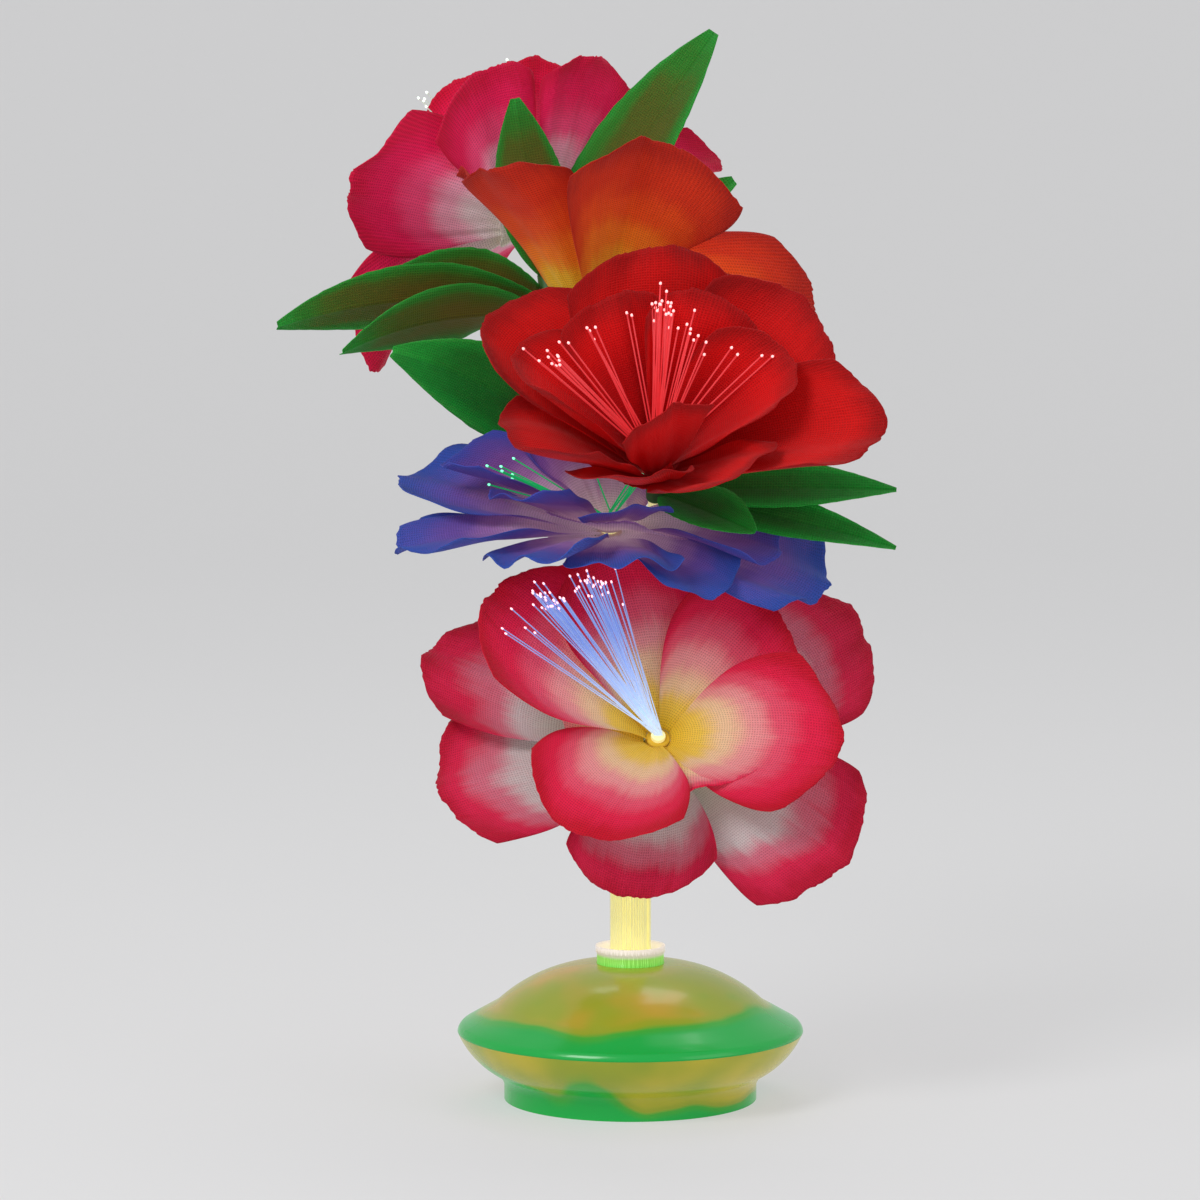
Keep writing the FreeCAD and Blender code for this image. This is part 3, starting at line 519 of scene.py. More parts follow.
@dataclass(frozen=True)
class FilmFinish(Finish):
    """Thin clear film, seen by its gloss."""

    def sockets(self, graph: Graph) -> dict[str, Given]:
        """Makes the film's soft creases.

        Args:
            graph: the material's graph.

        Returns:
            What the shader's sockets are given, by name.
        """
        crease = graph.noise(graph.place(), 90.0, 3.0)
        return {"Alpha": crease * 0.08 + 0.06, "Base Color": (0.95, 0.97, 0.90),
                "Roughness": 0.12, "Normal": graph.bump(crease, 0.0003)}


@dataclass(frozen=True)
class FloorFinish(Finish):
    """Pale floor with an even tone (backdrop) where it is seen, and clear from below."""

    pale: Colour
    backdrop: Colour
    evenness: float

    def sockets(self, graph: Graph) -> dict[str, Given]:
        """Makes the floor's soft mottle.

        Args:
            graph: the material's graph.

        Returns:
            What the shader's sockets are given, by name.
        """
        tone = graph.noise(graph.place(), 3.0)
        return {"Base Color": graph.mix(tone, scaled(self.pale, 0.96), self.pale),
                "Roughness": 0.6}

    def build(self) -> Material:
        """Makes the material, with the even tone and the clear underside laid over it.

        Returns:
            The material.
        """
        made = super().build()
        nodes, graph = made.node_tree.nodes, Graph(made.node_tree)
        lit = Value(graph, nodes["Principled BSDF"].outputs[0])
        even = graph.node("Emission", {"Color": self.backdrop, "Strength": 1.0})
        blend = graph.node("MixShader", {0: graph.seen_directly() * self.evenness, 1: lit,
                                         2: even})
        either = graph.node("MixShader", {0: graph.node("NewGeometry", output="Backfacing"),
                                          1: blend, 2: graph.node("BsdfTransparent")})
        graph.feed(nodes["Material Output"].inputs["Surface"], either)
        return made


INSIDE_FINISHES = (
    (MouldedFinish("ferrule_nylon", shown(86, 86, 82), 0.45), ("fibre_ferrule",)),
    (MouldedFinish("board_mask", shown(10, 34, 18), 0.35), ("led_board",)),
    (MouldedFinish("diode_red", shown(90, 25, 20), 0.15, coat=0.6), ("led_red",)),
    (MouldedFinish("diode_green", shown(30, 85, 35), 0.15, coat=0.6), ("led_green",)),
    (MouldedFinish("diode_blue", shown(30, 45, 95), 0.15, coat=0.6), ("led_blue",)),
    (MouldedFinish("potting_black", shown(7, 7, 7), 0.3, 0.0001), ("controller_blob",)),
    (MouldedFinish("resistor_ceramic", shown(16, 16, 18), 0.5), ("board_resistors",)),
    (MouldedFinish("tray_plastic", shown(16, 17, 17), 0.5, 0.00005), ("battery_tray",)),
    (MetalFinish("cell_jacket", shown(62, 62, 66), 0.35),
     ("battery_cell_1", "battery_cell_2", "battery_cell_3")),
    (MetalFinish("nickel_spring", shown(82, 80, 76), 0.25),
     ("battery_springs", "battery_contacts")),
    (MetalFinish("zinc_screw", shown(74, 74, 76), 0.3), ("door_screws", "base_screws")),
    (MouldedFinish("door_plastic", shown(30, 72, 42), 0.4, 0.00004), ("battery_door",)),
    (MouldedFinish("switch_black", shown(8, 8, 9), 0.4), ("switch_body", "switch_knob")),
    (MouldedFinish("lead_red", shown(75, 12, 10), 0.4), ("battery_lead_positive",)),
    (MouldedFinish("lead_black", shown(9, 9, 9), 0.4), ("battery_lead_negative", "switch_lead")),
)


# ------------------------------ pieces
def add_object(name: str, data: ID) -> Object:
    """Adds an object to the scene.

    Args:
        name: its name.
        data: its mesh, curve, lamp or camera.

    Returns:
        The object.
    """
    made = bpy.data.objects.new(name, data)
    bpy.context.scene.collection.objects.link(made)
    return made


def add_piece(name: str, mesh: Mesh, material: Material,
              replaced: Iterable[str]) -> Object:
    """Adds a finished piece that rides on the lamp.

    Args:
        name: the piece's name.
        mesh: its mesh, in metres.
        material: its material.
        replaced: the CAD nodes that it stands for.

    Returns:
        The piece.
    """
    piece = add_object(name, mesh)
    mesh.materials.append(material)
    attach(piece, LAMP)
    if replaced:
        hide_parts(*replaced)
    LOG.info("%s: %d faces", name, len(mesh.polygons))
    return piece


def new_mesh(name: str, verts: Iterable[Iterable[float]], edges: list[tuple[int, int]],
             faces: list[tuple[int, ...]], values: dict[str, np.ndarray]) -> Mesh:
    """Makes a mesh.

    Args:
        name: its name.
        verts: its points in metres.
        edges: its loose edges.
        faces: its faces.
        values: what its finish reads at each point, by name.

    Returns:
        The mesh.
    """
    mesh = bpy.data.meshes.new(name)
    mesh.from_pydata(verts, edges, faces)
    for key, data in values.items():
        layer = mesh.attributes.new(key, "FLOAT", "POINT")
        layer.data.foreach_set("value", data.astype(np.float32))
    return mesh


def clean(mesh: Mesh, distance: float, degrees: float, outward: bool = False) -> None:
    """Merges a mesh's doubled points and shades it smooth but for its sharp edges.

    Args:
        mesh: the mesh, which is changed.
        distance: points nearer than this, in metres, are merged.
        degrees: edges sharper than this stay sharp.
        outward: whether its faces are turned outwards.
    """
    work = bmesh.new()
    work.from_mesh(mesh)
    bmesh.ops.remove_doubles(work, verts=work.verts, dist=distance)
    if outward:
        bmesh.ops.recalc_face_normals(work, faces=work.faces)
    work.to_mesh(mesh)
    work.free()
    mesh.shade_smooth()
    mesh.set_sharp_from_angle(angle=math.radians(degrees))


def fine_copy(node: str, name: str, finish: Finish) -> Object:
    """A merged, smoothly shaded copy of a rigid CAD node that stands for it.

    Args:
        node: the CAD node.
        name: the new piece's name.
        finish: its finish.

    Returns:
        The piece.
    """
    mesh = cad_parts[node].data.copy()
    mesh.name = name
    mesh.materials.clear()
    clean(mesh, distance=2e-6, degrees=32.0)
    return add_piece(name, mesh, finish.build(), [node])


def dress_node(node: str, material: Material) -> None:
    """Gives a carried-over CAD node its material.

    Args:
        node: the CAD node.
        material: the material for all its faces.
    """
    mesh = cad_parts[node].data
    if len(mesh.materials) == 0:
        mesh.materials.append(material)
    for i in range(len(mesh.materials)):
        mesh.materials[i] = material
    LOG.info("%s: dressed in %s", node, material.name)


def facing(hub: Vector, axis: Vector) -> Matrix:
    """A placement whose local Z runs along an axis and whose local X stays nearest to +X.

    Args:
        hub: where it stands.
        axis: where its local Z points.

    Returns:
        The placement.
    """
    z = axis.normalized()
    x = (Vector((1, 0, 0)) - z * z.x).normalized()
    return Matrix.Translation(hub) @ Matrix((x, z.cross(x), z)).transposed().to_4x4()


def turned_ring(name: str, radii: Place, heights: Place, bevel: float, place: Matrix,
                material: Material, segments: int = 48) -> Object:
    """A turned ring with bevelled outer edges.

    Args:
        name: the piece's name.
        radii: its inner and outer radius in mm.
        heights: where it starts and ends along its axis, in mm.
        bevel: the bevel in mm.
        place: where its axis stands.
        material: its material.
        segments: facets round the axis.

    Returns:
        The piece.
    """
    (inner, outer), (low, high) = radii, heights
    profile = ((inner, low), (outer - bevel, low), (outer, low + bevel), (outer, high - bevel),
               (outer - bevel, high), (inner, high))
    verts, faces, count = [], [], len(profile)
    for i in range(segments):
        angle = 2 * math.pi * i / segments
        here, there = i * count, (i + 1) % segments * count
        for k, (radius, height) in enumerate(profile):
            corner = Vector((radius * math.cos(angle), radius * math.sin(angle), height))
            verts.append(tuple(place @ corner * MM))
            up = (k + 1) % count
            faces.append((here + k, there + k, there + up, here + up))
    mesh = new_mesh(name, verts, [], faces, {})
    clean(mesh, distance=1e-7, degrees=40.0, outward=True)
    return add_piece(name, mesh, material, [])


# ------------------------------ silk shapes
@dataclass
class Sheet:
    """Grid points of one piece of cloth, in mm, with the values its finish reads.

    Attributes:
        points: the grid.
        along: from 0 at the root to 1 at the tip.
        across: from -1 on one side to 1 on the other.
        rim: from 0 in the undyed middle to 1 at the rim.
        cloth: places on the flat cloth in mm.
        seed: where the dye wanders.
        closed: whether the last column meets the first.
    """

    points: np.ndarray
    along: np.ndarray
    across: np.ndarray
    rim: np.ndarray
    cloth: np.ndarray
    seed: float
    closed: bool = False

    def area(self) -> float:
        """Measures the cloth.

        Returns:
            Its area in square metres.
        """
        p = self.points
        if self.closed:
            p = np.concatenate([p, p[:, :1]], axis=1)
        first, second = p[1:, 1:] - p[:-1, :-1], p[1:, :-1] - p[:-1, 1:]
        return 0.5 * float(np.linalg.norm(np.cross(first, second), axis=-1).sum()) * MM * MM


def sheets_to_mesh(name: str, sheets: list[Sheet]) -> Mesh:
    """Joins grids into one mesh with the finish's attributes.

    Args:
        name: the mesh's name.
        sheets: the grids.

    Returns:
        The mesh, in metres.
    """
    faces, start = [], 0
    for sheet in sheets:
        index = start + np.arange(sheet.along.size).reshape(sheet.along.shape)
        start += sheet.along.size
        if sheet.closed:
            index = np.concatenate([index, index[:, :1]], axis=1)
        quads = np.stack([index[:-1, :-1], index[:-1, 1:], index[1:, 1:], index[1:, :-1]], axis=-1)
        faces += quads.reshape(-1, 4).tolist()
    values = {key: np.concatenate([getattr(sheet, key).ravel() for sheet in sheets])
              for key in ("along", "across", "rim")}
    values["seed"] = np.concatenate([np.full(sheet.along.size, sheet.seed) for sheet in sheets])
    verts = np.concatenate([sheet.points.reshape(-1, 3) * MM for sheet in sheets])
    mesh = new_mesh(name, verts.tolist(), [], faces, values)
    cloth = np.concatenate([sheet.cloth.reshape(-1, 2) for sheet in sheets])
    corner = np.zeros(len(mesh.loops), np.int32)
    mesh.loops.foreach_get("vertex_index", corner)
    flat = mesh.uv_layers.new(name="cloth")
    flat.data.foreach_set("uv", cloth[corner].astype(np.float32).ravel())
    mesh.polygons.foreach_set("use_smooth", [True] * len(mesh.polygons))
    mesh.update()
    return mesh


def add_silk(name: str, sheets: list[Sheet], place: Matrix, finish: SilkFinish,
             node: str) -> tuple[Object, float]:
    """Adds sheets of cloth as one piece of silk.

    Args:
        name: the piece's name.
        sheets: the cloth, in its own frame.
        place: where that frame stands.
        finish: its finish.
        node: the CAD node that it stands for.

    Returns:
        The piece and the cloth's area in square metres.
    """
    array = np.array(place)
    for sheet in sheets:
        sheet.points = sheet.points @ array[:3, :3].T + array[:3, 3]
    silk = add_piece(name, sheets_to_mesh(name, sheets), finish.build(), [node])
    wall = silk.modifiers.new("thickness", "SOLIDIFY")
    wall.thickness = CLOTH_THICKNESS * MM
    wall.offset = 0.0
    return silk, sum(sheet.area() for sheet in sheets)


def grid(rows: int, columns: int) -> tuple[np.ndarray, np.ndarray]:
    """A sheet's coordinates: from 0 to 1 along its rows and from -1 to 1 across its columns."""
    return tuple(np.meshgrid(np.linspace(0, 1, rows), np.linspace(-1, 1, columns),
                             indexing="ij"))


def eased(share: np.ndarray) -> np.ndarray:
    """A share from 0 to 1 that starts and ends gently."""
    return share * share * (3 - 2 * share)


@dataclass(frozen=True)
class Petal:
    """One petal: where it points, its cut size, its slopes at the root and at the ring's reach.

    Lengths are in mm and angles in degrees; curl is how far its later side turns up.
    """

    turn: float
    length: float
    width: float
    rise: float
    tip: float
    curl: float = 0.0


@dataclass(frozen=True)
class Layer:
    """A ring of petals wrapped on one bowl, each lying over its neighbour like roof tiles.

    Attributes:
        petals: the petals, in the order in which their chances are drawn.
        reach: how far along a petal its tip's slope counts, in mm.
        wrap: the widest half angle that a petal covers, in degrees.
        collet: the radius at which the petals start, in mm.
        height: how far above the hub they start, in mm.
        cup: how far a petal's sides rise over its middle, in mm.
        lap: how far it lies over its neighbour, in mm.
        wave: how strongly it is ruffled.
        crumple: the depth of its soft crumples in mm.
        blunt: the share of its width that is left at its end.
        joined: how far out the ring is one piece, in mm.
        hem: how far the joined piece's edge turns up in a wide gap, in mm.
        wide_gap: the angle between petals from which it does.
        widest_gap: the angle from which the joined piece draws back.
        side_dye: where the sides' dye starts, as a share of the length.
    """

    petals: list[Petal]
    reach: float
    wrap: float = 52.0
    collet: float = 3.9
    height: float = 0.0
    cup: float = 2.4
    lap: float = 3.4
    wave: float = 1.0
    crumple: float = 0.75
    blunt: float = 0.60
    joined: float = 20.0
    hem: float = 0.0
    wide_gap: float = 90.0
    widest_gap: float = 85.5
    side_dye: float = 0.12

    def between(self, bearing: np.ndarray) -> tuple[np.ndarray, ...]:
        """Finds the petals on both sides of each direction.

        Args:
            bearing: the directions in degrees.

        Returns:
            The earlier petal, the later one, the gap between them in degrees, and the share
            of the gap that lies before the direction.
        """
        turns = np.array(sorted(petal.turn % 360 for petal in self.petals))
        one = np.searchsorted(turns, bearing % 360, side="right") - 1
        other = (one + 1) % len(turns)
        gap = (turns[other] - turns[one]) % 360
        return one, other, gap, (bearing % 360 - turns[one]) % 360 / gap

    def bowl(self, travel: np.ndarray, bearing: np.ndarray) -> tuple[np.ndarray, ...]:
        """The bowl after travelling that far from the collet in that direction.

        Args:
            travel: the way along the bowl in mm.
            bearing: the direction in degrees.

        Returns:
            Radius, height and slope.
        """
        order = sorted(self.petals, key=lambda petal: petal.turn % 360)
        one, other, _, share = self.between(bearing)
        slopes = []
        for part in ("rise", "tip"):
            own = np.array([getattr(petal, part) for petal in order])
            slopes.append(np.radians(own[one] + (own[other] - own[one]) * eased(share)))
        rise, tip = slopes
        bend = (tip - rise) / self.reach
        bend = np.where(np.abs(bend) < 1e-5, 1e-5, bend)
        slope = rise + bend * travel
        return (self.collet + (np.sin(slope) - np.sin(rise)) / bend,
                self.height - (np.cos(slope) - np.cos(rise)) / bend, slope)

    def lifted(self, travel: np.ndarray, bearing: np.ndarray, lift: np.ndarray) -> np.ndarray:
        """Points over the bowl.

        Args:
            travel: the way along the bowl in mm.
            bearing: the direction in degrees.
            lift: how far the points stand off the bowl, in mm.

        Returns:
            The points in the flower's own frame.
        """
        radius, height, slope = self.bowl(travel, bearing)
        radius, height = radius - lift * np.sin(slope), height + lift * np.cos(slope)
        angle = np.radians(bearing)
        return np.stack([radius * np.cos(angle), radius * np.sin(angle), height], axis=-1)

    def half_width(self, petal: Petal, share: np.ndarray) -> np.ndarray:
        """Half a petal's width.

        Args:
            petal: the petal.
            share: where along its length.

        Returns:
            Half the width in mm.
        """
        half, widest = petal.width / 2, 0.60
        root = self.collet * 0.95 / half
        swell = np.sin(0.5 * np.pi * np.clip(share / widest, 0, 1)) ** 1.1
        beyond = np.clip((share - widest) / (1 - widest), 0, 1)
        end = half * (self.blunt + (1 - self.blunt) * np.sqrt(1 - beyond ** 2.2))
        return np.where(share < widest, half * (root + (1 - root) * swell), end)

    def sheet(self, petal: Petal, seed: int) -> Sheet:
        """One petal's cloth with its pressed veins, ruffled rim and frayed cut.

        Args:
            petal: the petal.
            seed: picks this petal's own ruffles and fraying.

        Returns:
            Its grid, in the flower's own frame.
        """
        chance = np.random.RandomState(seed)
        along, across = grid(40, 49)
        phase = chance.uniform(0, 2 * np.pi, 6)
        # the cut outline: a rounded end with shallow lobes, wavy sides and a frayed edge
        lobes = sum(size * np.sin(pitch * across + phase[i]) for i, (size, pitch) in
                    enumerate(((0.012, 3.1), (0.009, 7.3), (0.004, 17.0))))
        fray = chance.uniform(-0.006, 0.004, across.shape[1])
        side = 0.020 * np.sin(5.0 * along + phase[3]) + 0.012 * np.sin(13.0 * along + phase[4])
        share = along * (1 - 0.14 * (across * along) ** 2)
        share = share * (1 + lobes * along ** 4) + fray * along ** 12
        half = self.half_width(petal, share) * (1 + side * np.abs(across) ** 3)
        # its wrap round the bowl, which flattens out towards the widest half angle
        radius = self.bowl(share * petal.length, np.full_like(share, petal.turn))[0]
        half_angle = np.degrees(half / radius)
        half_angle = half_angle / (1 + (half_angle / (1.4 * self.wrap)) ** 4) ** 0.25
        bearing = petal.turn + self.wrap * np.tanh(across * half_angle / self.wrap)
        # how far it stands off the bowl: its lap and cup, waves, a curl, pleats, folds, a ruffle
        tile = across * (0.55 + self.lap * share) + self.cup * share * (across ** 2 - 0.4)
        ripple = np.sin(2.4 * np.pi * across + petal.turn)
        wave = self.wave * share ** 2 * ripple * (0.4 + 0.6 * across ** 2)
        curl_from = 0.45
        curl = np.where(across > curl_from,
                        petal.curl * share * ((across - curl_from) / (1 - curl_from)) ** 2, 0.0)
        pleat = np.sin(15.0 * across + 1.2 * np.sin(3 * across + phase[5]) + 0.6 * along)
        pleat = 0.22 * pleat * np.minimum(1, 4 * share) * (1 - 0.5 * share)
        fold = np.sin(5.2 * across + 2.6 * along + phase[4]) * np.sin(
            4.3 * along - 3.1 * across + phase[0])
        fold = self.crumple * np.minimum(1, 2 * share) * fold
        edge = np.clip((np.maximum(np.abs(across), along) - 0.62) / 0.38, 0, 1)
        ruffle = (np.sin(9.0 * across + phase[1]) * along
                  + 0.7 * np.sin(11.0 * along + phase[2]) * across)
        ruffle = 0.55 * edge ** 2 * ruffle * self.wave
        points = self.lifted(share * petal.length, bearing,
                             tile + wave + curl + pleat + fold + ruffle)
        # the dye reaches in from the end and, further out, from the sides
        shoulder = np.abs(across) ** 3.0 * np.clip((along - self.side_dye) / 0.55, 0, 1)
        rim = 1 - (1 - along ** 1.15) * (1 - 0.85 * shoulder)
        cloth = np.stack([across * half, along * petal.length], axis=-1)
        return Sheet(points, along, across, rim, cloth, float(chance.uniform(0, 50)))

    def middle(self, seed: float) -> Sheet:
        """The ring's joined middle, which closes the notches between the petals' roots.

        Args:
            seed: picks where its dye wanders.

        Returns:
            Its grid, closed round the axis, in the flower's own frame.
        """
        along, bearing = np.meshgrid(np.linspace(0, 1, 14), np.arange(0, 360, 2.5), indexing="ij")
        _, _, gap, into = self.between(bearing)
        reach = self.joined * (1 - 0.22 * np.sin(np.pi * into) ** 2)
        drawn_back = reach + (4.0 - reach) * np.sin(np.pi * into) ** 0.5
        reach = np.where(gap > self.widest_gap, drawn_back, reach)
        travel = along * reach
        length = float(np.mean([petal.length for petal in self.petals]))
        under, gathers = 0.75 + self.lap * travel / length, np.sin(np.radians(bearing * 40))
        turned_up = self.hem * along ** 5 * np.sin(np.pi * into) ** 2 * (gap > self.wide_gap)
        lift = -under + 0.12 * gathers * along
        lift = lift + turned_up * (1 + 0.3 * np.sin(np.radians(bearing * 9)))
        points = self.lifted(travel, bearing, lift)
        share = travel / length
        rim = np.clip(share ** 1.15 + 0.12 * turned_up, 0, 1)
        return Sheet(points, share, 2 * np.sin(np.radians(bearing)), rim, points[..., :2].copy(),
                     seed, closed=True)


@dataclass(frozen=True)
class Leaf:
    """One pointed leaf folded along its midrib, with its slopes at the root and the tip.

    Lengths are in mm and angles in degrees; bank turns the blade about its midrib, and height
    is where on the sleeve it is held.
    """

    turn: float
    length: float
    width: float
    rise: float
    tip: float
    bank: float
    height: float

    def sheet(self, root: float, seed: int) -> Sheet:
        """The leaf's cloth with its folded midrib, side veins and frayed margin.

        Args:
            root: how far from the sleeve's axis the blade starts.
            seed: picks this leaf's own waves and fraying.

        Returns:
            Its grid, in the spray's own frame.
        """
        chance = np.random.RandomState(seed)
        along, across = grid(44, 25)
        phase = chance.uniform(0, 2 * np.pi, 3)
        rise, bend = math.radians(self.rise), math.radians(self.tip - self.rise)
        bend = bend if abs(bend) > 1e-4 else 1e-4
        slope = rise + bend * along
        # the midrib's arc
        radius = self.length / bend * (np.sin(slope) - math.sin(rise))
        height = -self.length / bend * (np.cos(slope) - math.cos(rise))
        fray = 1 + chance.uniform(-0.014, 0.014, along.shape) * np.abs(across) ** 8
        swell = np.sin(np.pi * (0.035 + 0.93 * along) ** 0.86)
        half = 0.5 * self.width * np.maximum(0.07, swell ** 0.9) * fray
        # the folded blade with a wavy margin, side veins and a sunk midrib
        fold = math.radians(14.0)
        side, up = across * half * math.cos(fold), np.abs(across) * half * math.sin(fold)
        up = up + 0.5 * np.sin(7.0 * along + phase[0]) * across ** 2 * np.sign(across)
        vein = np.abs(((along * 11 + 2.2 * np.abs(across)) % 1.0) - 0.5)
        up = up - 0.16 * np.exp(-(vein / 0.12) ** 2) * np.minimum(1, 6 * np.abs(across))
        up = up - 0.35 * np.exp(-(across * half / 0.6) ** 2)
        # the bank, which grows over the first third
        bank = np.radians(self.bank * np.minimum(1.0, 3 * along))
        sideways = side * np.cos(bank) - up * np.sin(bank)
        outward = side * np.sin(bank) + up * np.cos(bank)
        radius = radius + root - outward * np.sin(slope)
        height = height + outward * np.cos(slope) + self.height
        angle = math.radians(self.turn)
        points = np.stack([radius * math.cos(angle) - sideways * math.sin(angle),
                           radius * math.sin(angle) + sideways * math.cos(angle), height], axis=-1)
        rim = np.maximum(np.abs(across) ** 2, along ** 3)
        cloth = np.stack([across * half, along * self.length], axis=-1)
        return Sheet(points, along, across, rim, cloth, float(chance.uniform(0, 50)))


# ------------------------------ strands
@dataclass(frozen=True)
class Route:
    """A bundle's control points above the stem in mm, and its angle in the stem in degrees."""

    points: tuple[Point, ...]
    ring_angle: float

    def run(self, run: int, share: float) -> Matrix:
        """A placement some way along a run of the route, facing along it; -2 is the last run."""
        low, high = Vector(self.points[run]), Vector(self.points[run + 1])
        return facing(low.lerp(high, share), high - low)


def strand_tree() -> NodeTree:
    """Geometry nodes that turn lines into round capped strands of one material.

    Returns:
        The tree, with inputs Radius, Sides and Finish.
    """
    tree = bpy.data.node_groups.new("round_strands", "GeometryNodeTree")
    for name, way, kind in (("Geometry", "INPUT", "Geometry"), ("Radius", "INPUT", "Float"),
                            ("Sides", "INPUT", "Int"), ("Finish", "INPUT", "Material"),
                            ("Geometry", "OUTPUT", "Geometry")):
        tree.interface.new_socket(name, in_out=way, socket_type="NodeSocket" + kind)
    source, sink, lines, thick, profile, sweep, smooth, real, paint = (
        tree.nodes.new(kind) for kind in (
            "NodeGroupInput", "NodeGroupOutput", "GeometryNodeMeshToCurve",
            "GeometryNodeInputNamedAttribute", "GeometryNodeCurvePrimitiveCircle",
            "GeometryNodeCurveToMesh", "GeometryNodeSetShadeSmooth",
            "GeometryNodeRealizeInstances", "GeometryNodeSetMaterial"))
    thick.data_type = "FLOAT"
    thick.inputs["Name"].default_value = "thick"
    sweep.inputs["Fill Caps"].default_value = True
    for giver, output, taker, socket in (
            (source, "Geometry", lines, "Mesh"), (lines, "Curve", sweep, "Curve"),
            (source, "Radius", profile, "Radius"), (source, "Sides", profile, "Resolution"),
            (profile, "Curve", sweep, "Profile Curve"), (thick, "Attribute", sweep, "Scale"),
            (sweep, "Mesh", smooth, "Geometry"), (smooth, "Geometry", real, "Geometry"),
            (real, "Geometry", paint, "Geometry"), (source, "Finish", paint, "Material"),
            (paint, "Geometry", sink, "Geometry")):
        tree.links.new(giver.outputs[output], taker.inputs[socket])
    return tree


def evaluated_mesh(holder: Object) -> Mesh:
    """Turns an object with its modifiers into a mesh and removes the object.

    Args:
        holder: the object.

    Returns:
        The mesh.
    """
    view = bpy.context.evaluated_depsgraph_get()
    made = bpy.data.meshes.new_from_object(holder.evaluated_get(view))
    bpy.data.objects.remove(holder)
    return made


@dataclass
class StrandSet:
    """Lines that are swept into round strands, each with its share of the radius at each point.

    Lines and radius are in mm.
    """

    name: str
    radius: float
    material: Material
    lines: list[tuple[np.ndarray, np.ndarray]] = field(default_factory=list)

    def build(self, tree: NodeTree, node: str) -> Object:
        """Sweeps the lines and adds the piece.

        Args:
            tree: the strand tree.
            node: the CAD node that the piece stands for.

        Returns:
            The piece.
        """
        edges, start = [], 0
        for line, _ in self.lines:
            edges += [(start + i, start + i + 1) for i in range(len(line) - 1)]
            start += len(line)
        values = {"along": np.concatenate([np.linspace(0, 1, len(line)) for line, _ in self.lines]),
                  "thick": np.concatenate([thick for _, thick in self.lines])}
        verts = np.concatenate([line for line, _ in self.lines]) * MM
        mesh = new_mesh(self.name + "_lines", verts.tolist(), edges, [], values)
        guide = add_object(self.name + "_guide", mesh)
        sweep = guide.modifiers.new("strands", "NODES")
        sweep.node_group = tree
        given = {"Radius": self.radius * MM, "Sides": FIBRE_SIDES, "Finish": self.material}
        for item in tree.interface.items_tree:
            if item.in_out == "INPUT" and item.name in given:
                sweep[item.identifier] = given[item.name]
        made = evaluated_mesh(guide)
        made.name = self.name
        made.materials.clear()
        return add_piece(self.name, made, self.material, [node])


def spline_points(points: list[Point]) -> np.ndarray:
    """Follows a smooth spline.

    Args:
        points: its control points in mm.

    Returns:
        Points along it, in order.
    """
    curve = bpy.data.curves.new("route", "CURVE")
    curve.dimensions = "3D"
    curve.resolution_u = 10
    spline = curve.splines.new("NURBS")
    spline.points.add(len(points) - 1)
    for slot, point in zip(spline.points, points):
        slot.co = (*point, 1.0)
    spline.order_u = 3
    spline.use_endpoint_u = True
    mesh = evaluated_mesh(add_object("route", curve))
    found = np.array([vertex.co[:] for vertex in mesh.vertices])
    bpy.data.meshes.remove(mesh)
    return found


def moving_frames(line: np.ndarray) -> tuple[np.ndarray, np.ndarray]:
    """Carries two directions across a line along it without twist.

    Args:
        line: the line's points.

    Returns:
        Both directions at each point.
    """
    tangents = np.gradient(line, axis=0)
    tangents /= np.linalg.norm(tangents, axis=1, keepdims=True)
    side, sides = np.array([1.0, 0.0, 0.0]), []
    for tangent in tangents:
        side = side - tangent * (side @ tangent)
        side = side / np.linalg.norm(side)
        sides.append(side)
    return np.array(sides), np.cross(tangents, sides)


def round_pack(rings: int) -> list[Place]:
    """Packs strands one step apart in rings round one in the middle.

    Args:
        rings: how many rings.

    Returns:
        The strands' places.
    """
    found = [(0.0, 0.0)]
    for ring in range(1, rings + 1):
        for k in range(6 * ring):
            angle = 2 * math.pi * k / (6 * ring)
            found.append((ring * math.cos(angle), ring * math.sin(angle)))
    return found


# ------------------------------ sub-assemblies
@dataclass(frozen=True)
class Tuft:
    """A handful of bare fibres: where their middle ends, seen from the throat, in mm."""

    tip: Point
    count: int
    spread: float


class Ring(Enum):
    """A flower's rings of petals, by the word in their pieces' names."""

    OUTER = "outer"
    INNER = "inner"


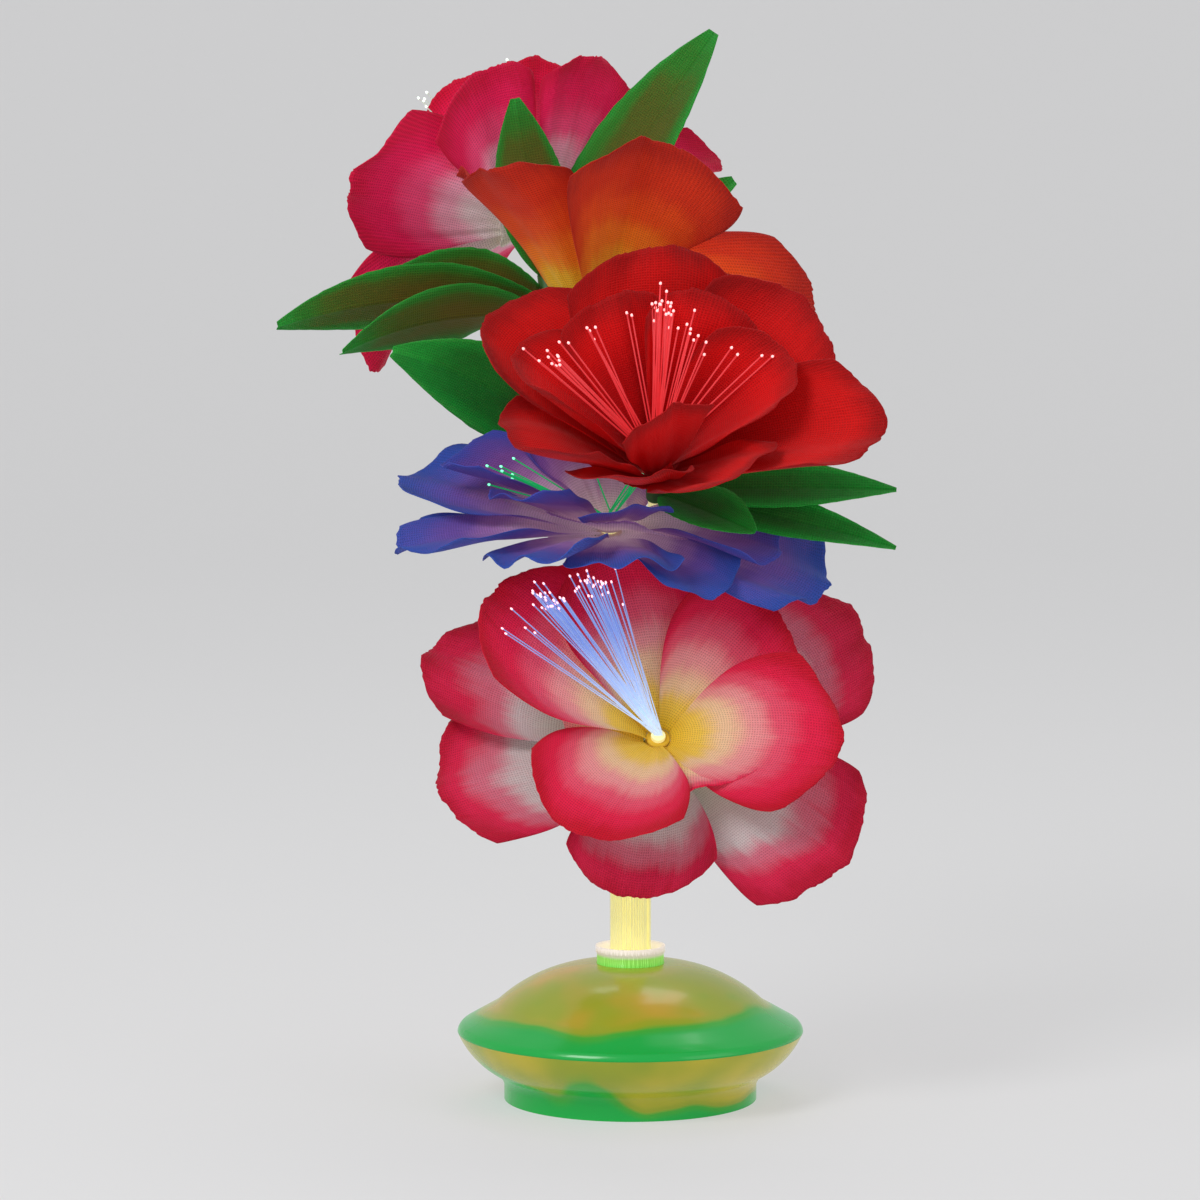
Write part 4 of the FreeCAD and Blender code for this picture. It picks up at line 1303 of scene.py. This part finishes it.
@dataclass
class SilkFlower:
    """A silk flower on its fibre bundle: two rings of petals, their collets and fibre ends.

    Its name starts its nodes' names, and its seed picks its ruffles and fibres. The fibre ends
    start at the throat, so far above the hub; bore is the collets' inner radius, in mm.
    """

    name: str
    route: Route
    layers: dict[Ring, Layer]
    dyes: dict[Ring, SilkFinish]
    tufts: tuple[Tuft, ...]
    fibre_end: LitFibreFinish
    seed: int
    fibre_radius: float
    throat: float = 4.2
    bore: float = 2.0

    def build(self, tree: NodeTree) -> None:
        """Makes every piece of the flower.

        Args:
            tree: the strand tree.
        """
        throat_colour = self.dyes[Ring.INNER].dye[0][1]
        moulded = MouldedFinish(f"collet_{self.name}", throat_colour, 0.5).build()
        for ring in Ring:
            self.build_layer(ring, moulded)
        self.build_fibre_ends(tree)

    def build_layer(self, ring: Ring, moulded: Material) -> None:
        """Makes one ring of petals and the collet that carries it.

        Args:
            ring: which ring.
            moulded: the collet's material.
        """
        layer, hub = self.layers[ring], self.route.run(-2, 1.0)
        start, height, gap, rise, bevel = f"{self.name}_{ring.value}", 2.0, 0.25, 0.3, 0.25
        top = layer.height + rise
        collet = turned_ring(start + "_collet", (self.bore, layer.collet - gap),
                             (top - height, top), bevel, hub, moulded)
        first = self.seed + 20 * (ring is Ring.INNER)
        sheets = [layer.sheet(petal, first + i) for i, petal in enumerate(layer.petals)]
        sheets.append(layer.middle(float(self.seed)))
        silk, area = add_silk(start + "_silk", sheets, hub, self.dyes[ring],
                              start + "_petals")
        across = 2 * (layer.collet + max(petal.length for petal in layer.petals)) * MM
        across = max(min(across, math.sqrt(area / LEAST_FILL)), math.sqrt(area))

    def build_fibre_ends(self, tree: NodeTree) -> None:
        """Makes the bare fibres that fan out of the throat, each with a bright cut end.

        Args:
            tree: the strand tree.
        """
        ends = StrandSet(f"{self.name}_fibre_ends", self.fibre_radius, self.fibre_end.build())
        chance = np.random.RandomState(self.seed + 7)
        throat = np.array(self.route.run(-2, 1.0) @ Vector((0, 0, self.throat)))
        t = np.linspace(0, 1, 14)[:, None]
        bead, bead_thick = (0.2, 0.5, 0.8, 0.95), (1.6, 1.8, 1.45, 0.5)
        thick = np.concatenate([np.full(len(t), 1.0), bead_thick])
        for tuft in self.tufts:
            for _ in range(tuft.count):
                direction = np.array(tuft.tip) + chance.normal(0, 0.45 * tuft.spread, 3)
                direction = direction * chance.uniform(0.93, 1.04)
                line = throat + np.append(chance.uniform(-1.2, 1.2, 2), 0.0) + direction * t
                ahead = direction / np.linalg.norm(direction)
                end = np.stack([line[-1] + ahead * step for step in bead])
                ends.lines.append((np.concatenate([line, end]), thick))
        ends.build(tree, f"{self.name}_fibres")


@dataclass
class LeafSpray:
    """Silk leaves on a wrapped sleeve round a bundle; their blades start at the root radius."""

    name: str
    place: Matrix
    leaves: list[Leaf]
    finish: SilkFinish
    seed: int
    root: float = 3.0
    sleeve: Place = (2.2, 2.62)
    margin: float = 1.0
    bevel: float = 0.2

    def build(self, moulded: Material) -> None:
        """Makes the sleeve and the leaves.

        Args:
            moulded: the sleeve's material.
        """
        heights = [leaf.height for leaf in self.leaves]
        sleeve = turned_ring(f"{self.name}_sleeve", self.sleeve,
                             (min(heights) - self.margin, max(heights) + self.margin),
                             self.bevel, self.place, moulded)
        sheets = [leaf.sheet(self.root, self.seed + i) for i, leaf in enumerate(self.leaves)]
        silk, area = add_silk(f"{self.name}_leaves", sheets, self.place, self.finish,
                              self.name)


@dataclass
class FibreStem:
    """The five fibre bundles: packed into one round stem, then parting to the flowers.

    A bundle's middle stands ring_radius from the axis at the heights of its foot and ends at the
    throat, past its hub. strand is a strand's radius and pitch its step where the bundles part;
    in the stem, rows of strands start at first_row and are row_step apart, all in mm.
    """

    routes: dict[str, Route]
    finish: LitFibreFinish
    ring_radius: float = 3.55
    foot: tuple[float, ...] = (25.3, 60.0, 72.0)
    throat: float = 4.2
    strand: float = 0.33
    pitch: float = 0.62 * 0.92
    first_row: float = 0.75
    row_step: float = 0.66
    strand_step: float = 0.70
    parting: Place = (62.0, 88.0)

    def build(self, tree: NodeTree) -> None:
        """Makes one piece of strands for each bundle.

        Args:
            tree: the strand tree.
        """
        material = self.finish.build()
        for name, route in self.routes.items():
            self.build_bundle(name, route, tree, material)

    def control_points(self, route: Route) -> list[Point]:
        """The bundle's whole route with its straight foot in the sleeve.

        Args:
            route: its route above the stem.

        Returns:
            All control points in mm.
        """
        angle = math.radians(route.ring_angle)
        x, y = self.ring_radius * math.cos(angle), self.ring_radius * math.sin(angle)
        last, before = Vector(route.points[-1]), Vector(route.points[-2])
        end = last + (last - before).normalized() * self.throat
        return [*((x, y, height) for height in self.foot), *route.points[:-1], tuple(end)]

    def sector_places(self, route: Route, count: int) -> list[Place]:
        """Places of the strands in the bundle's part of the round stem, from its middle.

        Args:
            route: the bundle's route.
            count: how many strands it has.

        Returns:
            Their places in mm.
        """
        middle, sector = math.radians(route.ring_angle), 2 * math.pi / len(self.routes)
        origin = np.array([math.cos(middle), math.sin(middle)]) * self.ring_radius
        found, radius = [], self.first_row
        while len(found) < count:
            fit = max(1, int(radius * sector / self.strand_step))
            for k in range(fit):
                angle = middle + sector * ((k + 0.5) / fit - 0.5)
                place = radius * np.array([math.cos(angle), math.sin(angle)]) - origin
                found.append((float(place[0]), float(place[1])))
            radius += self.row_step
        return found[:count]

    def build_bundle(self, name: str, route: Route, tree: NodeTree,
                     material: Material) -> None:
        """Makes one bundle's strands along its own spline.

        Args:
            name: the flower's name.
            route: the bundle's route.
            tree: the strand tree.
            material: the fibres' material.
        """
        line = spline_points(self.control_points(route))
        sides, ups = moving_frames(line)
        places = round_pack(3)
        parted = sorted(places, key=lambda place: (round(place[0]), place[1]))
        packed = sorted(self.sector_places(route, len(places)),
                        key=lambda place: (round(place[0]), place[1]))
        start, end = self.parting
        open_share = eased(np.clip((line[:, 2] - start) / (end - start), 0, 1))[:, None]
        strands = StrandSet(f"{name}_bundle_strands", self.strand, material)
        for (across, up), tight in zip(parted, packed):
            loose = sides * (across * self.pitch) + ups * (up * self.pitch)
            offset = np.array([*tight, 0.0]) * (1 - open_share) + loose * open_share
            strands.lines.append((line + offset, np.ones(len(line))))
        strands.build(tree, f"fibre_bundle_{name}")


@dataclass
class LitBase:
    """The moulded base with its light engine, batteries, door and switch."""

    bowl: LitShellFinish
    lid: LitShellFinish

    def build(self) -> None:
        """Makes the shells' fine pieces and dresses the parts inside."""
        fine_copy("lower_shell", "base_bowl", self.bowl)
        fine_copy("upper_shell", "base_lid", self.lid)
        fine_copy("stem_collar", "frosted_collar_cup", LitCollarFinish("frosted_collar"))
        fine_copy("stem_sleeve", "clear_stem_sleeve", FilmFinish("clear_film"))
        for finish, nodes in INSIDE_FINISHES:
            material = finish.build()
            for node in nodes:
                dress_node(node, material)


@dataclass
class Studio:
    """The camera, a pale floor that sweeps up behind, and soft lights.

    step is what one of the frame's 1200 steps stands for at the lamp, and axis_step where the
    lamp's axis stands. The floor's look is mixed with the backdrop's tone by its evenness.
    """

    step: float = 0.279e-3
    distance: float = 1.5
    elevation: float = 6.0
    axis_step: float = 630.6
    aim_height: float = 0.1407
    floor: Colour = (0.80, 0.80, 0.80)
    backdrop: Colour = (0.74, 0.74, 0.75)
    evenness: float = 0.62
    air: float = 0.42

    def build(self) -> None:
        """Makes the camera, floor and lights."""
        self.add_camera()
        self.add_floor()
        self.add_light("key", (-0.55, -0.75, 0.85), 0.45, 7.0)
        self.add_light("fill", (0.85, -0.60, 0.45), 0.7, 1.6)
        self.add_light("top", (0.05, 0.45, 1.1), 0.6, 2.4)
        self.add_air()
        bpy.context.scene.view_settings.view_transform = "Standard"

    def add_air(self) -> None:
        """Makes the soft light all round, seen as the backdrop's own pale grey."""
        world = bpy.data.worlds.new("studio_air")
        bpy.context.scene.world = world
        world.use_nodes = True
        graph, nodes = Graph(world.node_tree), world.node_tree.nodes
        light = nodes["Background"]
        graph.feed(light.inputs["Color"], (1, 1, 1))
        graph.feed(light.inputs["Strength"], self.air)
        pale = graph.node("Background", {"Color": self.backdrop, "Strength": 1.0})
        blend = graph.node("MixShader", {0: graph.seen_directly(),
                                         1: Value(graph, light.outputs[0]), 2: pale})
        graph.feed(nodes["World Output"].inputs["Surface"], blend)

    def add_camera(self) -> None:
        """Places the camera at the working distance and angle."""
        tilt = math.radians(self.elevation)
        back = Vector((0, -math.cos(tilt), math.sin(tilt)))
        look = Vector((-(self.axis_step - 600) * self.step, 0, self.aim_height))
        lens = bpy.data.cameras.new("studio_camera")
        lens.sensor_width = 36.0
        lens.lens = 18.0 / (600 * self.step / self.distance)
        camera = add_object("studio_camera", lens)
        camera.location = look + back * self.distance
        camera.rotation_euler = (-back).to_track_quat("-Z", "Y").to_euler()
        bpy.context.scene.camera = camera

    def add_floor(self) -> None:
        """Makes the pale floor and its sweep, clear from below so that the foot can be seen."""
        size, back, bend, top = 4.0, 1.6, 0.6, 3.0
        profile = [(-size, 0.0), (back, 0.0)]
        for degrees in range(10, 91, 10):
            angle = math.radians(degrees)
            profile.append((back + bend * math.sin(angle), bend * (1 - math.cos(angle))))
        profile.append((back + bend, top))
        verts = [(x, y, z) for y, z in profile for x in (-size, size)]
        faces = [(2 * i, 2 * i + 1, 2 * i + 3, 2 * i + 2) for i in range(len(profile) - 1)]
        mesh = new_mesh("pale_sweep", verts, [], faces, {})
        mesh.shade_smooth()
        mesh.materials.append(FloorFinish("pale_floor", self.floor, self.backdrop,
                                          self.evenness).build())
        sweep = add_object("pale_sweep", mesh)

    def add_light(self, name: str, place: Point, size: float, power: float) -> None:
        """Adds a soft square lamp aimed at the flowers.

        Args:
            name: its name.
            place: where it hangs, in metres.
            size: its side in metres.
            power: its power in watts.
        """
        lamp = bpy.data.lights.new(name, "AREA")
        lamp.size, lamp.energy = size, power
        holder = add_object(name, lamp)
        holder.location = place
        aim = Vector((0, 0, 0.15)) - Vector(place)
        holder.rotation_euler = aim.to_track_quat("-Z", "Y").to_euler()


# ------------------------------ the bouquet
P, L, T = Petal, Leaf, Tuft
ROUTES = {
    "lower_pink": Route(((3.2, -3.4, 86), (7.0, -7.4, 95.5), (7.4, -14, 102)), -54),
    "purple": Route(((-3.2, -1.4, 86), (-5, -0.5, 104), (-6.2, 0.5, 136), (-6.1, -1, 150),
                     (-6, -4, 160)), -126),
    "red": Route(((4.4, 2.4, 86), (5.5, 6.0, 106), (5.6, 15.5, 140), (5.8, 17, 156),
                  (6.4, 12, 165.4), (6.8, 4.5, 165.6), (6.9, 0.6, 167.0), (6.8, -10, 178)), 18),
    "orange": Route(((-0.6, 6.4, 86), (-2, 12, 104), (-7.5, 26, 145), (-8, 28, 165),
                     (-9, 26, 190), (-9.8, 20.8, 206), (-10, 20, 217)), 90),
    "upper_pink": Route(((-5.1, 4.4, 86), (-8, 13, 108), (-13, 26, 150), (-16, 31, 175),
                         (-21, 40, 208), (-24.6, 49.8, 234), (-27, 54, 243)), 162),
}
DYES = {
    "lower_pink": (
        dyed((0, 66, 70, 60), (28, 76, 78, 74), (50, 76, 72, 72), (68, 78, 40, 48),
             (84, 80, 11, 27), (100, 70, 4, 18)),
        dyed((0, 88, 70, 14), (14, 90, 74, 28), (30, 90, 74, 58), (46, 89, 56, 56),
             (62, 87, 30, 40), (80, 85, 10, 26), (100, 74, 2, 14))),
    "purple": (
        dyed((0, 88, 78, 84), (26, 78, 64, 76), (46, 60, 43, 68), (66, 41, 31, 64),
             (85, 27, 31, 66), (100, 18, 30, 65)),
        dyed((0, 92, 82, 84), (26, 80, 65, 76), (46, 60, 40, 63), (68, 45, 27, 57),
             (86, 34, 26, 60), (100, 23, 27, 64))),
    "red": (
        dyed((0, 52, 0, 1), (45, 70, 1, 2), (80, 78, 2, 2), (100, 60, 1, 2)),
        dyed((0, 46, 0, 1), (35, 68, 1, 3), (80, 80, 2, 3), (100, 62, 1, 2))),
    "orange": (
        dyed((0, 80, 74, 16), (22, 91, 70, 15), (40, 93, 46, 9), (58, 87, 28, 6),
             (78, 78, 17, 5), (100, 64, 10, 4)),
        dyed((0, 84, 76, 20), (22, 92, 64, 15), (42, 90, 38, 9), (72, 80, 19, 6),
             (100, 68, 11, 4))),
    "upper_pink": (
        dyed((0, 88, 86, 78), (20, 92, 82, 84), (36, 93, 62, 72), (55, 93, 28, 48),
             (80, 88, 9, 33), (100, 78, 4, 23)),
        dyed((0, 90, 78, 44), (18, 94, 82, 78), (34, 93, 60, 70), (55, 93, 26, 46),
             (80, 88, 8, 30), (100, 78, 3, 20))),
}
RINGS = {
    "lower_pink": (
        Layer([P(36, 66, 62, 12, 2), P(157, 66, 54, 14, -2), P(196, 60, 58, 10, -10),
               P(262, 43, 62, -2, -40), P(325, 60, 60, 6, -16)], reach=62, wrap=42,
              joined=24, side_dye=0.34),
        Layer([P(345, 50, 58, 34, 0), P(42, 46, 52, 44, 26), P(111, 52, 54, 50, 33),
               P(154, 60, 58, 44, 26, curl=4), P(240, 43, 72, 30, -16)], reach=52,
              wrap=58, collet=3.6, height=2.8, joined=33, hem=3.2, widest_gap=120)),
    "purple": (
        Layer([P(346, 60, 52, 3, -23), P(72, 34, 42, 42, 30), P(122, 26, 42, 36, 20),
               P(165, 58, 46, 16, 4), P(200, 58, 50, 12, -6), P(240, 46, 50, 18, 0),
               P(276, 40, 50, 18, 4), P(312, 41, 46, 1, -16)], reach=60, wrap=34,
              wave=1.7, joined=14),
        Layer([P(342, 46, 42, 8, -14), P(84, 38, 36, 58, 52), P(130, 36, 40, 52, 44),
               P(174, 46, 42, 28, 12), P(222, 38, 44, 34, 22), P(280, 32, 48, 36, 26)],
              reach=50, wrap=34, collet=3.6, height=2.8)),
    "red": (
        Layer([P(147, 60, 54, 38, 24), P(90, 60, 58, 60, 54), P(36, 60, 54, 42, 28),
               P(350, 66, 46, 38, 17), P(204, 50, 54, 45, 34), P(256, 42, 50, 46, 58),
               P(306, 46, 50, 43, 48)], reach=62, lap=4.0),
        Layer([P(167, 50, 42, 50, 34), P(116, 50, 42, 70, 62), P(64, 50, 42, 70, 60),
               P(14, 48, 42, 50, 34), P(288, 43, 72, 56, 100)], reach=52, wrap=46,
              collet=3.6, height=2.8, lap=4.4)),
    "orange": (
        Layer([P(358, 60, 44, 30, -24), P(229, 61, 54, 61, 44), P(293, 65, 60, 68, 54),
               P(184, 54, 46, 62, 48), P(116, 40, 36, 78, 74), P(64, 40, 32, 76, 70)],
              reach=56, wrap=42, collet=5.0, lap=4.4, blunt=0.36, joined=9),
        Layer([P(208, 42, 34, 82, 68), P(264, 44, 34, 82, 70), P(336, 42, 34, 82, 66),
               P(50, 36, 34, 88, 82), P(130, 36, 34, 88, 84)], reach=50, wrap=50,
              collet=3.6, height=2.8, cup=1.0, lap=1.6, wave=0.5, joined=9)),
    "upper_pink": (
        Layer([P(262, 47, 50, 60, 56), P(214, 58, 38, 20, 4), P(166, 60, 40, -8, -44),
               P(130, 54, 50, 20, 0), P(74, 54, 50, 24, 0), P(16, 58, 50, 24, 0),
               P(318, 49, 50, 54, 46)], reach=58, wrap=35, lap=4.8, blunt=0.5,
              joined=8),
        Layer([P(235, 44, 42, 68, 64), P(300, 44, 42, 70, 64), P(0, 46, 42, 50, 40),
               P(72, 46, 42, 46, 34), P(150, 46, 42, 46, 34)], reach=50, collet=3.6,
              height=2.8, joined=9)),
}
BLUE = LitFibreFinish("fibre_blue_white", shown(84, 92, 100), shown(52, 62, 86),
                      shown(100, 74, 80), 0.45, 1.5)
GREEN = LitFibreFinish("fibre_green", shown(10, 60, 34), shown(6, 68, 38), shown(50, 100, 78),
                       0.5, 1.3)
ROSE = LitFibreFinish("fibre_rose", shown(80, 14, 16), shown(86, 26, 28), shown(100, 66, 66),
                      0.5, 1.5)
WHITE = LitFibreFinish("fibre_white", shown(80, 84, 76), shown(78, 84, 80), shown(90, 100, 92),
                       0.4, 1.5)
CREAM = LitFibreFinish("fibre_cream", shown(96, 93, 62), shown(93, 91, 60), shown(96, 94, 70),
                       0.42, 0.42)
FIBRE_ENDS = {
    "lower_pink": (BLUE, 0.17, (
        T((-32, -21, 40), 26, 3.5), T((-27, -21, 39), 8, 3), T((-20, -21, 44), 16, 3.5),
        T((-14, -21, 44), 14, 3.5), T((-43, -20, 31), 2, 2), T((-38, -20, 34), 2, 2),
        T((-30, -20, 31), 1, 2))),
    "purple": (GREEN, 0.22, (
        T((8.6, -6, 12), 8, 2), T((-4.7, -5, 12.5), 1, 1), T((-31, -7, 14), 8, 3.5),
        T((-34, -8, 11), 1, 2))),
    "red": (ROSE, 0.22, (
        T((2, -17, 43), 19, 4), T((2, -17, 47), 2, 2), T((9, -18, 40), 4, 3),
        T((11, -18, 36), 3, 3), T((13, -17, 31), 2, 2), T((-8, -18, 41), 2, 2),
        T((-17, -19, 36), 4, 3), T((-24, -19, 33), 2, 2), T((-29, -20, 29), 10, 5),
        T((23, -18, 33), 2, 2), T((31, -16, 31), 2, 3))),
    "orange": (WHITE, 0.22, (T((-1, -2, 30), 16, 2),)),
    "upper_pink": (WHITE, 0.22, (
        T((-5.6, 1, 41), 4, 2), T((13, 2, 43), 3, 2), T((-31, 2, 32), 6, 4),
        T((-14, 6, 33), 3, 4))),
}
# The third value of each leaf finish is its painted glow.
LEAF_SILK = SilkFinish("silk_leaf_green", dyed(
    (0, 12, 38, 11), (35, 9, 48, 14), (75, 10, 60, 19), (100, 16, 64, 22)), 0.11, 0.7)
# Painted light: the olive in these leaves' middles stands in for the orange flower's light falling
# on them, set into their colour run.
ORANGE_LIT_LEAF_SILK = SilkFinish("silk_leaf_olive", dyed(
    (0, 36, 34, 9), (34, 28, 37, 9), (66, 16, 48, 13), (100, 14, 58, 19)), 0.11, 0.7)
SPRAYS = {
    "leaf_spray_low": (ROUTES["red"].run(6, 0.48), LEAF_SILK, [
        L(-48, 40, 18, 26, 20, 0, 0), L(-4, 64, 16, 9, 0, 6, -0.8),
        L(-16, 66, 14, 6, -8, 6, -2.6)]),
    "leaf_spray_mid": (ROUTES["orange"].run(3, 0.52), LEAF_SILK, [
        L(212, 74, 26, 44, 18, 76, 0), L(200, 36, 12, 20, 8, 30, -1.2)]),
    "leaf_spray_top": (ROUTES["upper_pink"].run(4, 0.5), ORANGE_LIT_LEAF_SILK, [
        L(-23, 84, 30, 49, 44, 78, 6), L(-96, 52, 21, 54, 62, 0, 8), L(-6, 62, 24, 34, 24, 70, -2),
        L(194, 48, 22, 14, -8, 40, 4), L(206, 84, 22, 6, -18, 40, 0),
        L(216, 74, 20, 0, -26, 40, -4)]),
}


def flowers() -> list[SilkFlower]:
    """Plans the five flowers.

    Returns:
        The flowers, lowest first.
    """
    made = []
    for i, (name, (fibre, radius, tufts)) in enumerate(FIBRE_ENDS.items()):
        outer, inner = DYES[name]
        # The third value of each silk finish is its painted glow.
        dyes = {Ring.OUTER: SilkFinish(f"silk_{name}_outer", outer, 0.15),
                Ring.INNER: SilkFinish(f"silk_{name}_inner", inner, 0.18, 0.2)}
        made.append(SilkFlower(name, ROUTES[name], dict(zip(Ring, RINGS[name])), dyes, tufts,
                               fibre, 11 + 50 * i, radius))
    return made


def main() -> None:
    """Builds the studio and the lamp's sub-assemblies in order."""
    logging.basicConfig(level=logging.INFO, format="%(name)s %(message)s")
    Studio().build()
    Shared.build()
    tree = strand_tree()
    LitBase(LitShellFinish("lit_bowl", (0.060, 0.070), (0.002, 0.009), shown(62, 57, 14)),
            LitShellFinish("lit_lid", (0.036, 0.044), (0.0, 0.001), shown(64, 50, 17))).build()
    FibreStem(ROUTES, CREAM).build(tree)
    calyx = MouldedFinish("calyx_green", shown(16, 42, 16), 0.5, 0.00005).build()
    for flower in flowers():
        dress_node(f"{flower.name}_calyx", calyx)
        flower.build(tree)
    for i, (name, (place, silk, leaves)) in enumerate(SPRAYS.items()):
        LeafSpray(name, place, leaves, silk, 301 + 20 * i).build(calyx)


if __name__ == "__main__":
    main()
